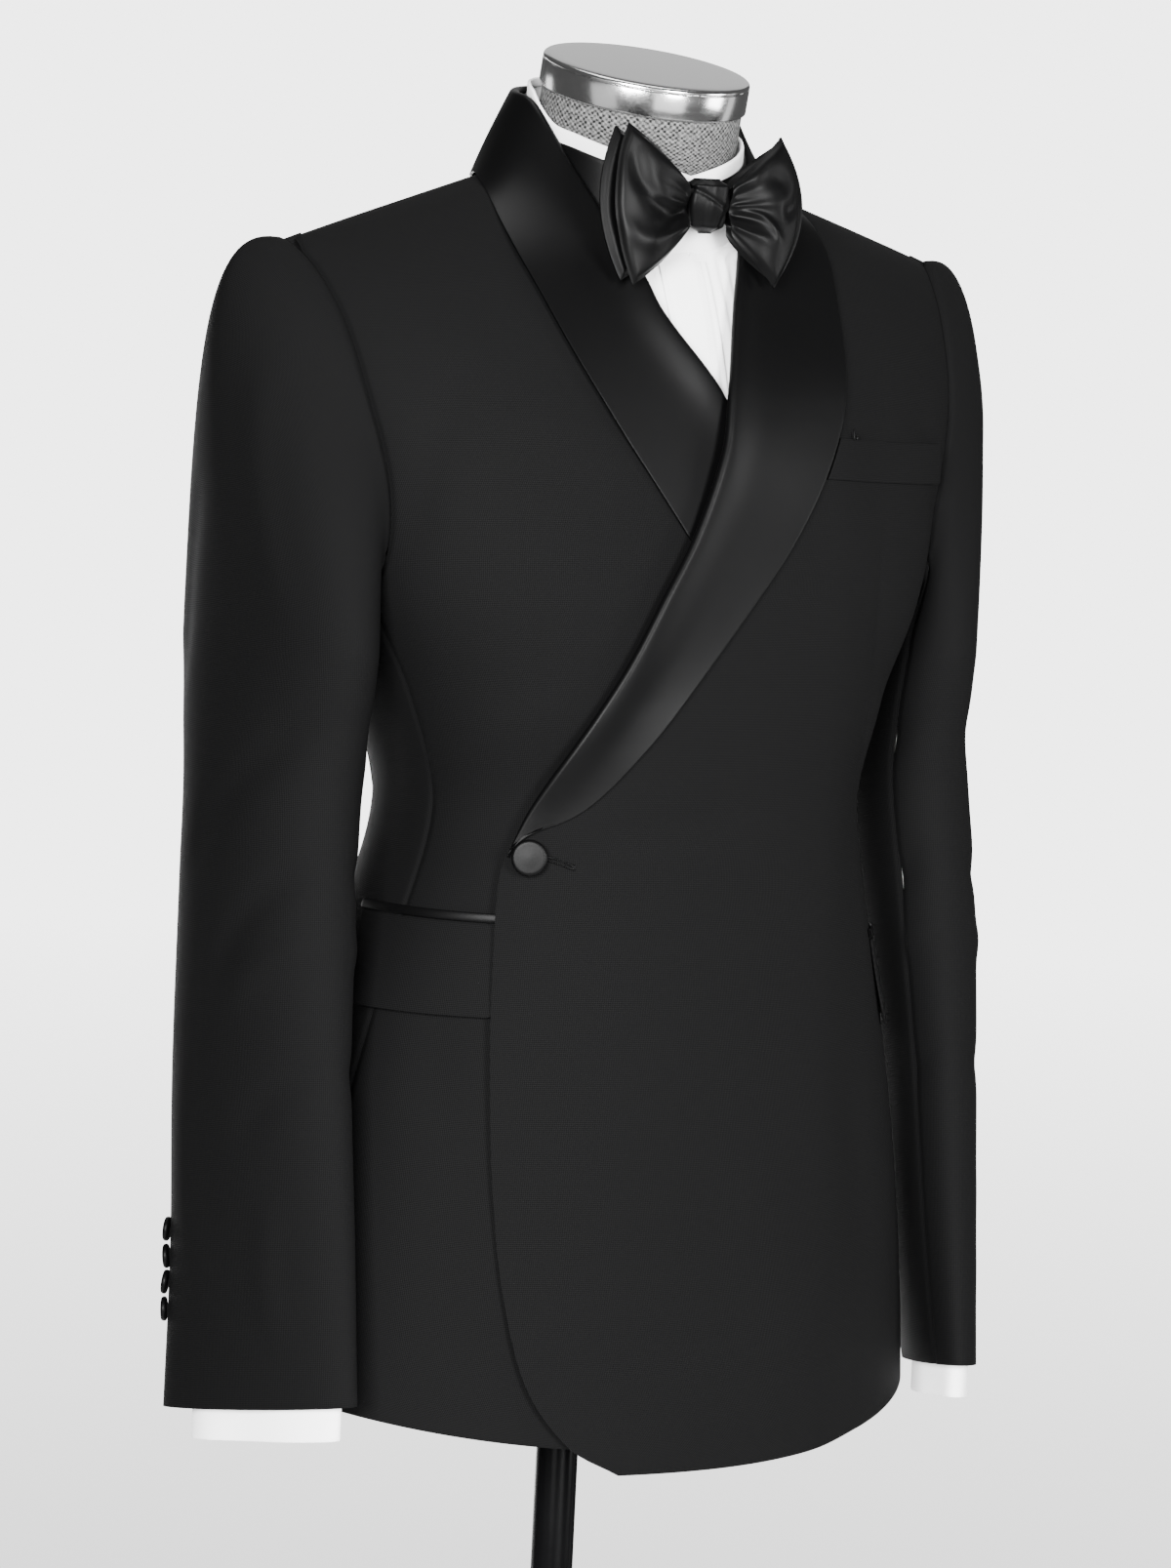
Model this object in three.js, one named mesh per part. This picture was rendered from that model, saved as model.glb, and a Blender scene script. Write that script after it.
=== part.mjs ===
// Wrap-front dinner jacket with white shirt and bow tie on a limbless dress form.
// Millimetres, +Z up. X runs to the wearer's left and the wearer faces -Y.
// The origin is the middle of the stand's underside, on the floor.

import * as THREE from "three";

// Driving sizes of the jacket
const UNDERARM = 1265;
const SHOULDER_TIP = { x: 217, z: 1462 };
const SHOULDER_SLOPE = 0.325;
const CLOTH = 2;
const SATIN = 1.6;
const FLAP_CLOTH = 1.2;
const SEAM_GAP = 0.35;
const LAYER_GAP = 0.7;
const WRAP_LIFT = 4.5;
const WRAP_FULL_X = 76;
const WRAP_END_X = 124;
const ROLL_RISE = 3;

// Driving sizes of the shirt, the bow tie and the stand
const SHIRT_DEPTH = -6;
const SHIRT_BACK_DEPTH = -8;
const SHIRT_CLOTH = 1.2;
const SHIRT_HEM = 868;
const SHIRT_NAPE = 1500;
const NECK = { radius: 63, middleY: -17 };
const BOW = { x: 1.5, y: -94.4, z: 1490, rootHeight: 30, endHeight: 94 };
const WINGS = {
  right: { side: -1, span: 59, round: 0.74, lean: 0 },
  left: { side: 1, span: 54, round: 1.1, lean: 0.16 },
};
const KNOT = { halfWidth: 13.6, halfDepth: 11.5, height: 31, lift: 1.5 };
const CAP = { radius: 60, height: 18.5, y: -27, z: 1569, tilt: 12.8 };
const POLE_RADIUS = 12.3;
const BASE = { radius: 180, height: 10 };
const FORM_BOTTOM = 858;

// Angles: 0 is the front middle, 90 degrees the wearer's left side, 180 the back middle
const DEGREE = Math.PI / 180;
const SIDE_SEAM = 76 * DEGREE;
const BACK_SEAM = 61.5 * DEGREE;
const RISE_SPAN = 200;
const SHOULDER_V = UNDERARM + RISE_SPAN * Math.PI / 2;
const ARMHOLE = { middle: 1365, up: 97, down: 103, reach: 28.5 * DEGREE, square: 2.5 };

const finishes = {
  cloth: new THREE.MeshStandardMaterial({ color: 0x202022, roughness: 0.85, metalness: 0 }),
  satin: new THREE.MeshStandardMaterial({ color: 0x1a1a1c, roughness: 0.38, metalness: 0 }),
  shirt: new THREE.MeshStandardMaterial({ color: 0xf1f1f1, roughness: 0.8, metalness: 0 }),
  linen: new THREE.MeshStandardMaterial({ color: 0x8c8c8c, roughness: 0.9, metalness: 0 }),
  steel: new THREE.MeshStandardMaterial({ color: 0xb8b8b8, roughness: 0.3, metalness: 1 }),
  lacquer: new THREE.MeshStandardMaterial({ color: 0x0c0c0c, roughness: 0.2, metalness: 0.1 }),
};

// Level sections of the jacket body: widest line, depth and corner squareness by height
const bodySections = [
  { height: 770, halfWidth: 213, middle: -12, halfDepth: 138, square: 2.1 },
  { height: 860, halfWidth: 207, middle: -13, halfDepth: 134, square: 2.1 },
  { height: 960, halfWidth: 192, middle: -17, halfDepth: 127, square: 2.12 },
  { height: 1060, halfWidth: 168, middle: -24, halfDepth: 115, square: 2.2 },
  { height: 1150, halfWidth: 149, middle: -30, halfDepth: 106, square: 2.3 },
  { height: 1210, halfWidth: 163, middle: -22, halfDepth: 116, square: 2.45 },
  { height: 1265, halfWidth: 186, middle: -10, halfDepth: 127, square: 2.6 },
  { height: 1340, halfWidth: 207, middle: -6, halfDepth: 127, square: 2.65 },
  { height: 1385, halfWidth: 218, middle: -4, halfDepth: 127, square: 2.65 },
  { height: 1430, halfWidth: 220, middle: -2, halfDepth: 127, square: 2.65 },
  { height: 1462, halfWidth: 217, middle: 0, halfDepth: 127, square: 2.65 },
];

// Smooth value of one column of a table at a place between its rows
function tableAt(table, column, key, at) {
  const last = table.length - 1;
  if (at <= table[0][key]) return table[0][column];
  if (at >= table[last][key]) return table[last][column];
  let row = 0;
  while (table[row + 1][key] < at) row += 1;
  const span = table[row + 1][key] - table[row][key];
  const part = (at - table[row][key]) / span;
  const slope = (index) => {
    const low = Math.max(0, index - 1);
    const high = Math.min(last, index + 1);
    return (table[high][column] - table[low][column]) / (table[high][key] - table[low][key]);
  };
  const ease = part * part * (3 - 2 * part);
  const start = part * (1 - part) * (1 - part) * span * slope(row);
  const end = part * part * (part - 1) * span * slope(row + 1);
  return table[row][column] * (1 - ease) + table[row + 1][column] * ease + start + end;
}

const section = (column, level) => tableAt(bodySections, column, "height", level);
const mix = (from, to, part) => from + (to - from) * part;
const clamp = (value, low, high) => Math.min(high, Math.max(low, value));
const signedPower = (value, power) => Math.sign(value) * Math.abs(value) ** power;
const shoulderHeight = (x) => SHOULDER_TIP.z + SHOULDER_SLOPE * (SHOULDER_TIP.x - Math.abs(x));

function smoothStep(from, to, value) {
  const part = clamp((value - from) / (to - from), 0, 1);
  return part * part * (3 - 2 * part);
}

// Body surface: v is the height up to the underarm and then turns over the shoulder
function levelOf(v) {
  const turn = Math.max(0, (v - UNDERARM) / RISE_SPAN);
  return v <= UNDERARM ? v : UNDERARM + Math.sin(turn) * (SHOULDER_TIP.z - UNDERARM);
}

function bodyPoint(phi, v) {
  const turn = Math.max(0, (v - UNDERARM) / RISE_SPAN);
  const level = levelOf(v);
  const power = 2 / section("square", level);
  const x = section("halfWidth", level) * signedPower(Math.sin(phi), power);
  const depth = section("halfDepth", level) * Math.cos(turn);
  const y = section("middle", level) - depth * signedPower(Math.cos(phi), power);
  const z = v <= UNDERARM ? v : UNDERARM + Math.sin(turn) * (shoulderHeight(x) - UNDERARM);
  return new THREE.Vector3(x, y, z);
}

function bodySkin(phi, v, lift) {
  const across = bodyPoint(phi + 0.01, v).sub(bodyPoint(phi - 0.01, v));
  const along = bodyPoint(phi, v + 1).sub(bodyPoint(phi, v - 1));
  const normal = across.cross(along).normalize();
  return bodyPoint(phi, v).addScaledVector(normal, lift);
}

// Places on the body by a level, and by a front or back view's x and z
function riseTo(level) {
  if (level <= UNDERARM) return level;
  const rise = (level - UNDERARM) / (SHOULDER_TIP.z - UNDERARM);
  return UNDERARM + RISE_SPAN * Math.asin(clamp(rise, 0, 1));
}

function heightToV(x, z) {
  if (z <= UNDERARM) return z;
  const rise = (z - UNDERARM) / (shoulderHeight(x) - UNDERARM);
  return UNDERARM + RISE_SPAN * Math.asin(clamp(rise, 0, 1));
}

function phiOf(x, v) {
  const level = levelOf(v);
  const share = clamp(Math.abs(x) / section("halfWidth", level), 0, 1);
  return Math.sign(x) * Math.asin(share ** (section("square", level) / 2));
}

// Even spacing across a front: part width and part angle, and the angle at such a place
function spreadOf(phi, v) {
  const power = 2 / section("square", levelOf(v));
  return signedPower(Math.sin(phi), power) + phi / (90 * DEGREE);
}

function phiAtSpread(spread, v) {
  let low = -90 * DEGREE;
  let high = 90 * DEGREE;
  for (let step = 0; step < 30; step += 1) {
    const middle = (low + high) / 2;
    if (spreadOf(middle, v) < spread) low = middle;
    else high = middle;
  }
  return (low + high) / 2;
}

const onFront = (x, z, lift) => bodySkin(phiOf(x, heightToV(x, z)), heightToV(x, z), lift);

// Armhole edge on the body: turn 0 is its front, 90 degrees its top
function armholeAt(turn) {
  const power = 2 / ARMHOLE.square;
  const lift = Math.sin(turn) > 0 ? ARMHOLE.up : ARMHOLE.down;
  const level = ARMHOLE.middle + lift * signedPower(Math.sin(turn), power);
  const phi = 90 * DEGREE - ARMHOLE.reach * signedPower(Math.cos(turn), power);
  return { phi, v: riseTo(level) };
}

function armholeReach(level) {
  const lift = level > ARMHOLE.middle ? ARMHOLE.up : ARMHOLE.down;
  const share = clamp(Math.abs(level - ARMHOLE.middle) / lift, 0, 1);
  return ARMHOLE.reach * (1 - share ** ARMHOLE.square) ** (1 / ARMHOLE.square);
}

// Underside level of the armhole at an angle of the side panel
function armholeFloor(phi) {
  const share = clamp(Math.abs(phi - 90 * DEGREE) / ARMHOLE.reach, 0, 1);
  return ARMHOLE.middle - ARMHOLE.down * (1 - share ** ARMHOLE.square) ** (1 / ARMHOLE.square);
}

// Mesh helpers: a closed mesh whose faces point out, and a wall between two skins
function solidMesh(name, finish, points, faces) {
  let volume = 0;
  for (const [a, b, c] of faces) {
    volume += points[a].dot(points[b].clone().cross(points[c]));
  }
  const outward = volume > 0 ? faces : faces.map(([a, b, c]) => [a, c, b]);
  const geometry = new THREE.BufferGeometry();
  const numbers = points.flatMap((point) => [point.x, point.y, point.z]);
  geometry.setAttribute("position", new THREE.Float32BufferAttribute(numbers, 3));
  geometry.setIndex(outward.flat());
  geometry.computeVertexNormals();
  const mesh = new THREE.Mesh(geometry, finish);
  mesh.name = name;
  return mesh;
}

function wall(name, finish, rows, columns, outer, inner, closed = false) {
  const width = closed ? columns : columns + 1;
  const points = [];
  for (const skin of [outer, inner]) {
    for (let row = 0; row <= rows; row += 1) {
      for (let column = 0; column < width; column += 1) {
        points.push(skin(column / columns, row / rows));
      }
    }
  }
  const at = (side, row, column) => side * (rows + 1) * width + row * width + (column % width);
  const faces = [];
  const quad = (a, b, c, d) => faces.push([a, b, c], [a, c, d]);
  for (let row = 0; row < rows; row += 1) {
    for (let column = 0; column < columns; column += 1) {
      const next = column + 1;
      quad(at(0, row, column), at(0, row, next), at(0, row + 1, next), at(0, row + 1, column));
      quad(at(1, row, column), at(1, row + 1, column), at(1, row + 1, next), at(1, row, next));
    }
  }
  for (let column = 0; column < columns; column += 1) {
    const next = column + 1;
    quad(at(0, 0, column), at(1, 0, column), at(1, 0, next), at(0, 0, next));
    quad(at(0, rows, column), at(0, rows, next), at(1, rows, next), at(1, rows, column));
  }
  if (!closed) {
    for (let row = 0; row < rows; row += 1) {
      quad(at(0, row, 0), at(0, row + 1, 0), at(1, row + 1, 0), at(1, row, 0));
      quad(at(0, row, columns), at(1, row, columns), at(1, row + 1, columns), at(0, row + 1, columns));
    }
  }
  return solidMesh(name, finish, points, faces);
}

function mirrored(point, side) {
  point.x *= side;
  return point;
}

// Rows of the front edges from hem to shoulder, on the wearer's left and, mirrored, right.
// The edge is the front edge up to the button and the roll line above it.
const leftFrontRows = [
  { row: 0, edgeX: -52, edgeZ: 777, sideZ: 812, sag: 11 },
  { row: 1, edgeX: -82, edgeZ: 794, sideZ: 826, sag: 9 },
  { row: 2, edgeX: -106, edgeZ: 828, sideZ: 852, sag: 6 },
  { row: 3, edgeX: -119, edgeZ: 880, sideZ: 896, sag: 3 },
  { row: 4, edgeX: -125, edgeZ: 940, sideZ: 948, sag: 1 },
  { row: 5, edgeX: -126, edgeZ: 1000, sideZ: 1003, sag: 0 },
  { row: 6, edgeX: -124, edgeZ: 1060, sideZ: 1060, sag: 0 },
  { row: 7, edgeX: -118, edgeZ: 1118, sideZ: 1120, sag: 0 },
  { row: 8, edgeX: -98, edgeZ: 1152, sideZ: 1152, sag: 0 },
  { row: 9, edgeX: -78, edgeZ: 1191, sideZ: 1191, sag: 0 },
  { row: 10, edgeX: -59, edgeZ: 1235, sideZ: 1232, sag: 0 },
  { row: 11, edgeX: -42, edgeZ: 1272, sideZ: 1266, sag: 0 },
  { row: 12, edgeX: -22, edgeZ: 1308, sideZ: 1300, sag: 0 },
  { row: 13, edgeX: -4, edgeZ: 1352, sideZ: 1340, sag: 0 },
  { row: 14, edgeX: 5, edgeZ: 1388, sideZ: 1372, sag: 0 },
  { row: 15, edgeX: 15, edgeZ: 1420, sideZ: 1404, sag: 0 },
  { row: 16, edgeX: 25, edgeZ: 1447, sideZ: 1430, sag: 0 },
  { row: 17, edgeX: 40, edgeZ: 1472, sideZ: 1449, sag: 0 },
  { row: 18, edgeX: 58, edgeZ: 1494, sideZ: 1459, sag: 0 },
  { row: 19, edgeX: 78, edgeZ: 1520, sideZ: 1462, sag: 0 },
];

const rightFrontRows = [
  { row: 0, edgeX: -20, edgeZ: 787, sideZ: 812, sag: 5 },
  { row: 1, edgeX: -40, edgeZ: 800, sideZ: 826, sag: 4 },
  { row: 2, edgeX: -55, edgeZ: 828, sideZ: 852, sag: 3 },
  { row: 3, edgeX: -62, edgeZ: 880, sideZ: 896, sag: 2 },
  { row: 4, edgeX: -64, edgeZ: 940, sideZ: 948, sag: 1 },
  { row: 5, edgeX: -65, edgeZ: 1000, sideZ: 1003, sag: 0 },
  { row: 6, edgeX: -65, edgeZ: 1060, sideZ: 1060, sag: 0 },
  { row: 7, edgeX: -65, edgeZ: 1120, sideZ: 1120, sag: 0 },
  { row: 8, edgeX: -65, edgeZ: 1152, sideZ: 1152, sag: 0 },
  { row: 9, edgeX: -64, edgeZ: 1191, sideZ: 1191, sag: 0 },
  { row: 10, edgeX: -60, edgeZ: 1235, sideZ: 1232, sag: 0 },
  { row: 11, edgeX: -53, edgeZ: 1272, sideZ: 1266, sag: 0 },
  { row: 12, edgeX: -42, edgeZ: 1308, sideZ: 1300, sag: 0 },
  { row: 13, edgeX: -22, edgeZ: 1350, sideZ: 1340, sag: 0 },
  { row: 14, edgeX: -2, edgeZ: 1382, sideZ: 1372, sag: 0 },
  { row: 15, edgeX: 25, edgeZ: 1418, sideZ: 1404, sag: 0 },
  { row: 16, edgeX: 41, edgeZ: 1447, sideZ: 1430, sag: 0 },
  { row: 17, edgeX: 50, edgeZ: 1471, sideZ: 1449, sag: 0 },
  { row: 18, edgeX: 60, edgeZ: 1494, sideZ: 1459, sag: 0 },
  { row: 19, edgeX: 78, edgeZ: 1520, sideZ: 1462, sag: 0 },
];

// How far the left front stands off the body where it wraps over the right front
const CROSSING = { x: 6, z: 1354, reach: 46, rise: 6 };

function wrapLift(x, z) {
  const wrap = WRAP_LIFT * (1 - smoothStep(WRAP_FULL_X, WRAP_END_X, x));
  const away = ((x - CROSSING.x) ** 2 + (z - CROSSING.z) ** 2) / CROSSING.reach ** 2;
  const high = 1 - smoothStep(1380, 1440, z);
  return wrap * mix(0.25, 1, high) + CROSSING.rise * Math.exp(-away);
}

// Rise of the cloth where a front rolls over into its lapel
const rollRise = (distance) => ROLL_RISE * Math.exp(-((distance / 13) ** 2));

// One front: a grid between its edge and the side seam with the armhole above it
function frontPlace(rows, rollFrom, across, along) {
  const row = along * (rows.length - 1);
  const column = (name) => tableAt(rows, name, "row", row);
  const level = column("sideZ");
  const sideV = riseTo(level);
  const sidePhi = Math.min(SIDE_SEAM, 90 * DEGREE - armholeReach(level)) - 0.001;
  const edgeX = column("edgeX");
  const edgeV = heightToV(edgeX, column("edgeZ"));
  const v = mix(edgeV, sideV, across) - column("sag") * Math.sin(Math.PI * across);
  const edgeSpread = spreadOf(phiOf(edgeX, edgeV), edgeV);
  const phi = phiAtSpread(mix(edgeSpread, spreadOf(sidePhi, sideV), across), v);
  const { x, z } = bodyPoint(phi, v);
  const roll = rollRise(x - edgeX) * smoothStep(rollFrom - 1, rollFrom + 1, row);
  return { phi, v, x, z, roll };
}

function front(name, rows, side, rollFrom, liftAt) {
  const skin = (depth) => (across, along) => {
    const { phi, v, x, z, roll } = frontPlace(rows, rollFrom, across, along);
    return mirrored(bodySkin(phi, v, liftAt(x, z) + roll - depth), side);
  };
  return wall(name, finishes.cloth, rows.length - 1, 11, skin(0), skin(CLOTH));
}

// Side panel from hem to the underside of the armhole
function sidePanel(name, side) {
  const skin = (depth) => (across, along) => {
    const spread = mix(SIDE_SEAM + 0.003, Math.PI - BACK_SEAM - 0.003, across);
    const top = armholeFloor(spread);
    const v = riseTo(mix(812, top, along));
    return mirrored(bodySkin(spread, v, -depth), side);
  };
  return wall(name, finishes.cloth, 12, 6, skin(0), skin(CLOTH));
}

// Back half with its centre seam, side seam and armhole; the neck curve starts at this share of its rows
const NAPE_SHARE = 0.86;

const BACK_HEM_DROP = 6;
const BACK_NECK = { x: 78, z: 1493 };

function backPlace(across, along) {
  const sideV = mix(812, SHOULDER_V, along);
  const level = levelOf(sideV);
  const reach = level > ARMHOLE.middle ? armholeReach(level) : ARMHOLE.reach;
  const sideX = bodyPoint(90 * DEGREE - reach, sideV).x;
  const centreV = mix(812 - BACK_HEM_DROP, heightToV(0, BACK_NECK.z), Math.min(along / NAPE_SHARE, 1));
  const neckShare = smoothStep(NAPE_SHARE, 1, along);
  const edgeX = mix(SEAM_GAP / 2, BACK_NECK.x, neckShare);
  const x = mix(edgeX, sideX - SEAM_GAP, across);
  const top = SHOULDER_V - 2.4;
  const edgeV = mix(centreV, top, neckShare ** 2);
  return { x, v: mix(edgeV, Math.min(sideV, top), across) };
}

function back(name, side) {
  const skin = (depth) => (across, along) => {
    const { x, v } = backPlace(across, along);
    return mirrored(bodySkin(Math.PI - phiOf(x, v), v, -depth), side);
  };
  return wall(name, finishes.cloth, 20, 8, skin(0), skin(CLOTH));
}

// Sleeve sections below the armhole: middle, breadth from back edge to front edge,
// thickness, and the toe-in of the front edge towards the body
const sleeveSections = [
  { height: 810, x: 232, y: -54, breadth: 133, thickness: 37, toe: 24, slant: 9 },
  { height: 900, x: 228, y: -42, breadth: 129, thickness: 47, toe: 21, slant: 7 },
  { height: 1000, x: 224.5, y: -29, breadth: 130, thickness: 58, toe: 18, slant: 4 },
  { height: 1100, x: 217, y: -16, breadth: 135, thickness: 70, toe: 14, slant: 1 },
  { height: 1180, x: 210.5, y: -4, breadth: 142, thickness: 73, toe: 10, slant: 0 },
  { height: 1235, x: 213, y: 2, breadth: 150, thickness: 66, toe: 7, slant: 0 },
];
const SLEEVE_HEM = sleeveSections[0].height;
const SLEEVE_HEAD = sleeveSections[sleeveSections.length - 1].height;
const SLEEVE_HEAD_SHARE = 0.42;

function sleeveRing(turn, height) {
  const column = (name) => tableAt(sleeveSections, name, "height", height);
  const toe = column("toe") * DEGREE;
  const ahead = column("breadth") / 2 * Math.cos(turn);
  const out = column("thickness") / 2 * Math.sin(turn);
  const x = column("x") - Math.sin(toe) * ahead + Math.cos(toe) * out;
  const y = column("y") - Math.cos(toe) * ahead - Math.sin(toe) * out;
  return new THREE.Vector3(x, y, height + column("slant") * Math.cos(turn));
}

// Sleeve surface from the armhole (along 0) over the sleeve head and down to the hem (1)
function sleevePoint(turn, along) {
  if (along >= SLEEVE_HEAD_SHARE) {
    const part = (along - SLEEVE_HEAD_SHARE) / (1 - SLEEVE_HEAD_SHARE);
    return sleeveRing(turn, mix(SLEEVE_HEAD, SLEEVE_HEM, part));
  }
  const part = along / SLEEVE_HEAD_SHARE;
  const { phi, v } = armholeAt(turn);
  const start = bodySkin(phi, v, 1.2);
  const end = sleeveRing(turn, SLEEVE_HEAD);
  const topness = Math.max(0, Math.sin(turn));
  const outward = new THREE.Vector3(mix(30, 212, topness), 50 * topness, mix(-10, 48, topness));
  const drop = new THREE.Vector3(0, 0, -Math.max(40, start.z - end.z));
  const ease = part * part * (3 - 2 * part);
  const leave = part * (1 - part) * (1 - part);
  const arrive = part * part * (part - 1);
  const point = start.clone().lerp(end, ease);
  return point.addScaledVector(outward, leave).addScaledVector(drop, arrive);
}

function sleeveSkin(turn, along, lift) {
  const near = clamp(along, 0.012, 0.988);
  const across = sleevePoint(turn + 0.02, near).sub(sleevePoint(turn - 0.02, near));
  const down = sleevePoint(turn, near + 0.01).sub(sleevePoint(turn, near - 0.01));
  const normal = down.cross(across).normalize();
  return sleevePoint(turn, along).addScaledVector(normal, lift);
}

const FRONT_SEAM_TURN = -42 * DEGREE;
const BACK_SEAM_TURN = 176 * DEGREE;

function sleevePiece(name, side, from, to, columns) {
  const gap = 0.4 * DEGREE;
  const skin = (depth) => (across, along) => {
    const turn = mix(from + gap, to - gap, across);
    return mirrored(sleeveSkin(turn, along, -depth), side);
  };
  return wall(name, finishes.cloth, 15, columns, skin(0), skin(CLOTH));
}

// Shawl collar: rows from the lapel's lower end to the shoulder, roll line and outer edge
const leftLapelRows = [
  { row: 0, rollX: -115, rollZ: 1123, outX: -109, outZ: 1124 },
  { row: 1, rollX: -98, rollZ: 1152, outX: -81, outZ: 1156 },
  { row: 2, rollX: -78, rollZ: 1191, outX: -50, outZ: 1188 },
  { row: 3, rollX: -59, rollZ: 1235, outX: -19, outZ: 1228 },
  { row: 4, rollX: -42, rollZ: 1272, outX: 13, outZ: 1268 },
  { row: 5, rollX: -22, rollZ: 1308, outX: 41, outZ: 1304 },
  { row: 6, rollX: -4, rollZ: 1352, outX: 67, outZ: 1344 },
  { row: 7, rollX: 5, rollZ: 1388, outX: 84, outZ: 1380 },
  { row: 8, rollX: 15, rollZ: 1420, outX: 92, outZ: 1414 },
  { row: 9, rollX: 25, rollZ: 1447, outX: 97, outZ: 1444 },
  { row: 10, rollX: 38, rollZ: 1474, outX: 103, outZ: 1468 },
  { row: 11, rollX: 54, rollZ: 1498, outX: 107, outZ: 1488 },
];

const rightLapelRows = [
  { row: 0, rollX: -22, rollZ: 1350, outX: 14, outZ: 1290 },
  { row: 1, rollX: -2, rollZ: 1382, outX: 45, outZ: 1334 },
  { row: 2, rollX: 12, rollZ: 1401, outX: 64, outZ: 1362 },
  { row: 3, rollX: 25, rollZ: 1418, outX: 80, outZ: 1390 },
  { row: 4, rollX: 34, rollZ: 1433, outX: 92, outZ: 1415 },
  { row: 5, rollX: 39, rollZ: 1449, outX: 102, outZ: 1443 },
  { row: 6, rollX: 49.5, rollZ: 1473, outX: 108, outZ: 1467 },
  { row: 7, rollX: 57, rollZ: 1497, outX: 107, outZ: 1488 },
];

// Roll line and outer edge round the neck, from the front (row 0) to the centre back.
// over is the outer edge's place on the body: 1 is the shoulder seam, past it the back.
const collarRows = [
  { row: 0, rollX: 58, rollY: -57, rollZ: 1505, outX: 106, over: 0.815, seamX: 66, seamOver: 0.87 },
  { row: 1, rollX: 68, rollY: -33, rollZ: 1527, outX: 101, over: 0.95, seamX: 74, seamOver: 0.97 },
  { row: 2, rollX: 69.5, rollY: -14, rollZ: 1545, outX: 95, over: 1.06, seamX: 76, seamOver: 1.04 },
  { row: 3, rollX: 66.5, rollY: 12, rollZ: 1550, outX: 84, over: 1.16, seamX: 64, seamOver: 1.135 },
  { row: 4, rollX: 44.5, rollY: 42.5, rollZ: 1552.6, outX: 54, over: 1.27, seamX: 38, seamOver: 1.235 },
  { row: 5, rollX: 0, rollY: 58.5, rollZ: 1554, outX: 0, over: 1.35, seamX: 0, seamOver: 1.3 },
];

function onBodyOver(x, over, lift) {
  const v = UNDERARM + RISE_SPAN * over * Math.PI / 2;
  return bodySkin(phiOf(x, v), v, lift);
}

function collarPoint(across, row) {
  const column = (name) => tableAt(collarRows, name, "row", row);
  const roll = new THREE.Vector3(column("rollX"), column("rollY"), column("rollZ"));
  const out = onBodyOver(column("outX"), column("over"), LAYER_GAP + SATIN + 0.4);
  const bulge = new THREE.Vector3(roll.x, roll.y - NECK.middleY, 0).normalize();
  const middle = roll.clone().lerp(out, 0.5).addScaledVector(bulge, 3);
  middle.z += 3;
  const near = roll.lerp(middle, across);
  return near.lerp(middle.lerp(out, across), across);
}

function shawlPoint(rows, liftAt, across, row) {
  const last = rows.length - 1;
  const column = (name) => tableAt(rows, name, "row", Math.min(row, last));
  const x = mix(column("rollX"), column("outX"), across);
  const z = mix(column("rollZ"), column("outZ"), across);
  const width = Math.hypot(column("outX") - column("rollX"), column("outZ") - column("rollZ"));
  const roll = rollRise(across * width) * smoothStep(0, 2, row);
  const lift = liftAt(x, z) + LAYER_GAP + SATIN + roll;
  const lapel = onFront(x, z, lift);
  const blend = smoothStep(last - 0.6, last + 0.8, row);
  return blend === 0 ? lapel : lapel.lerp(collarPoint(across, Math.max(0, row - last)), blend);
}

function shawlCollar(name, rows, side, liftAt) {
  const total = rows.length - 1 + collarRows.length - 1;
  const place = (across, row) => shawlPoint(rows, liftAt, across, clamp(row, 0, total));
  const skin = (depth) => (across, along) => {
    const row = along * total;
    const low = clamp(across, 0.02, 0.98);
    const wide = place(low + 0.02, row).sub(place(low - 0.02, row));
    const long = place(across, row + 0.05).sub(place(across, row - 0.05));
    const normal = wide.cross(long).normalize();
    const point = place(across, row).addScaledVector(normal, -depth);
    point.x = Math.max(point.x, row > rows.length + 2 ? SEAM_GAP / 2 : -BASE.radius);
    return mirrored(point, side);
  };
  return wall(name, finishes.satin, Math.round(1.6 * total), 5, skin(0), skin(SATIN));
}

// Collar stand from the neck seam up to the roll line, all round the back of the neck
const STAND_END = 4.4;

function collarStand() {
  const last = collarRows.length - 1;
  const skin = (depth) => (along, up) => {
    const turn = mix(-STAND_END, STAND_END, along);
    const side = turn < 0 ? -1 : 1;
    const column = (name) => tableAt(collarRows, name, "row", last - Math.abs(turn));
    const seam = onBodyOver(column("seamX"), column("seamOver"), 1.3);
    const roll = new THREE.Vector3(column("rollX"), column("rollY"), column("rollZ") - 2.4);
    const point = seam.lerp(roll, up);
    const inward = new THREE.Vector3(point.x, point.y - NECK.middleY, 0).normalize();
    return mirrored(point.addScaledVector(inward, -depth - 2.7 * up), side);
  };
  return wall("collar_stand", finishes.cloth, 2, 26, skin(0), skin(CLOTH));
}

// Pocket flap with its satin jetting, between two angles of the body
const POCKET_GAP = 0.5;

function pocket(side, from, to, drop) {
  const label = side < 0 ? "right" : "left";
  const flap = (depth) => (across, along) => {
    const phi = mix(from, to, across);
    const z = mix(1086, 1034, along) + drop;
    const stand = POCKET_GAP + FLAP_CLOTH + 2 * along * across;
    return mirrored(bodySkin(phi + 0.012 * along, z, stand - depth), side);
  };
  const jet = (depth) => (across, along) => {
    const phi = mix(from - 0.01, to + 0.01, across);
    const z = mix(1092, 1087, along) + drop;
    return mirrored(bodySkin(phi, z, POCKET_GAP + FLAP_CLOTH - depth), side);
  };
  return [
    wall(`${label}_pocket_flap`, finishes.cloth, 4, 8, flap(0), flap(FLAP_CLOTH)),
    wall(`${label}_pocket_jetting`, finishes.satin, 1, 8, jet(0), jet(FLAP_CLOTH)),
  ];
}

// Breast welt on the left front
const WELT = { innerX: 67.5, lean: 12, outerX: 176, innerZ: 1339, slant: -3, height: 23 };

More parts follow.
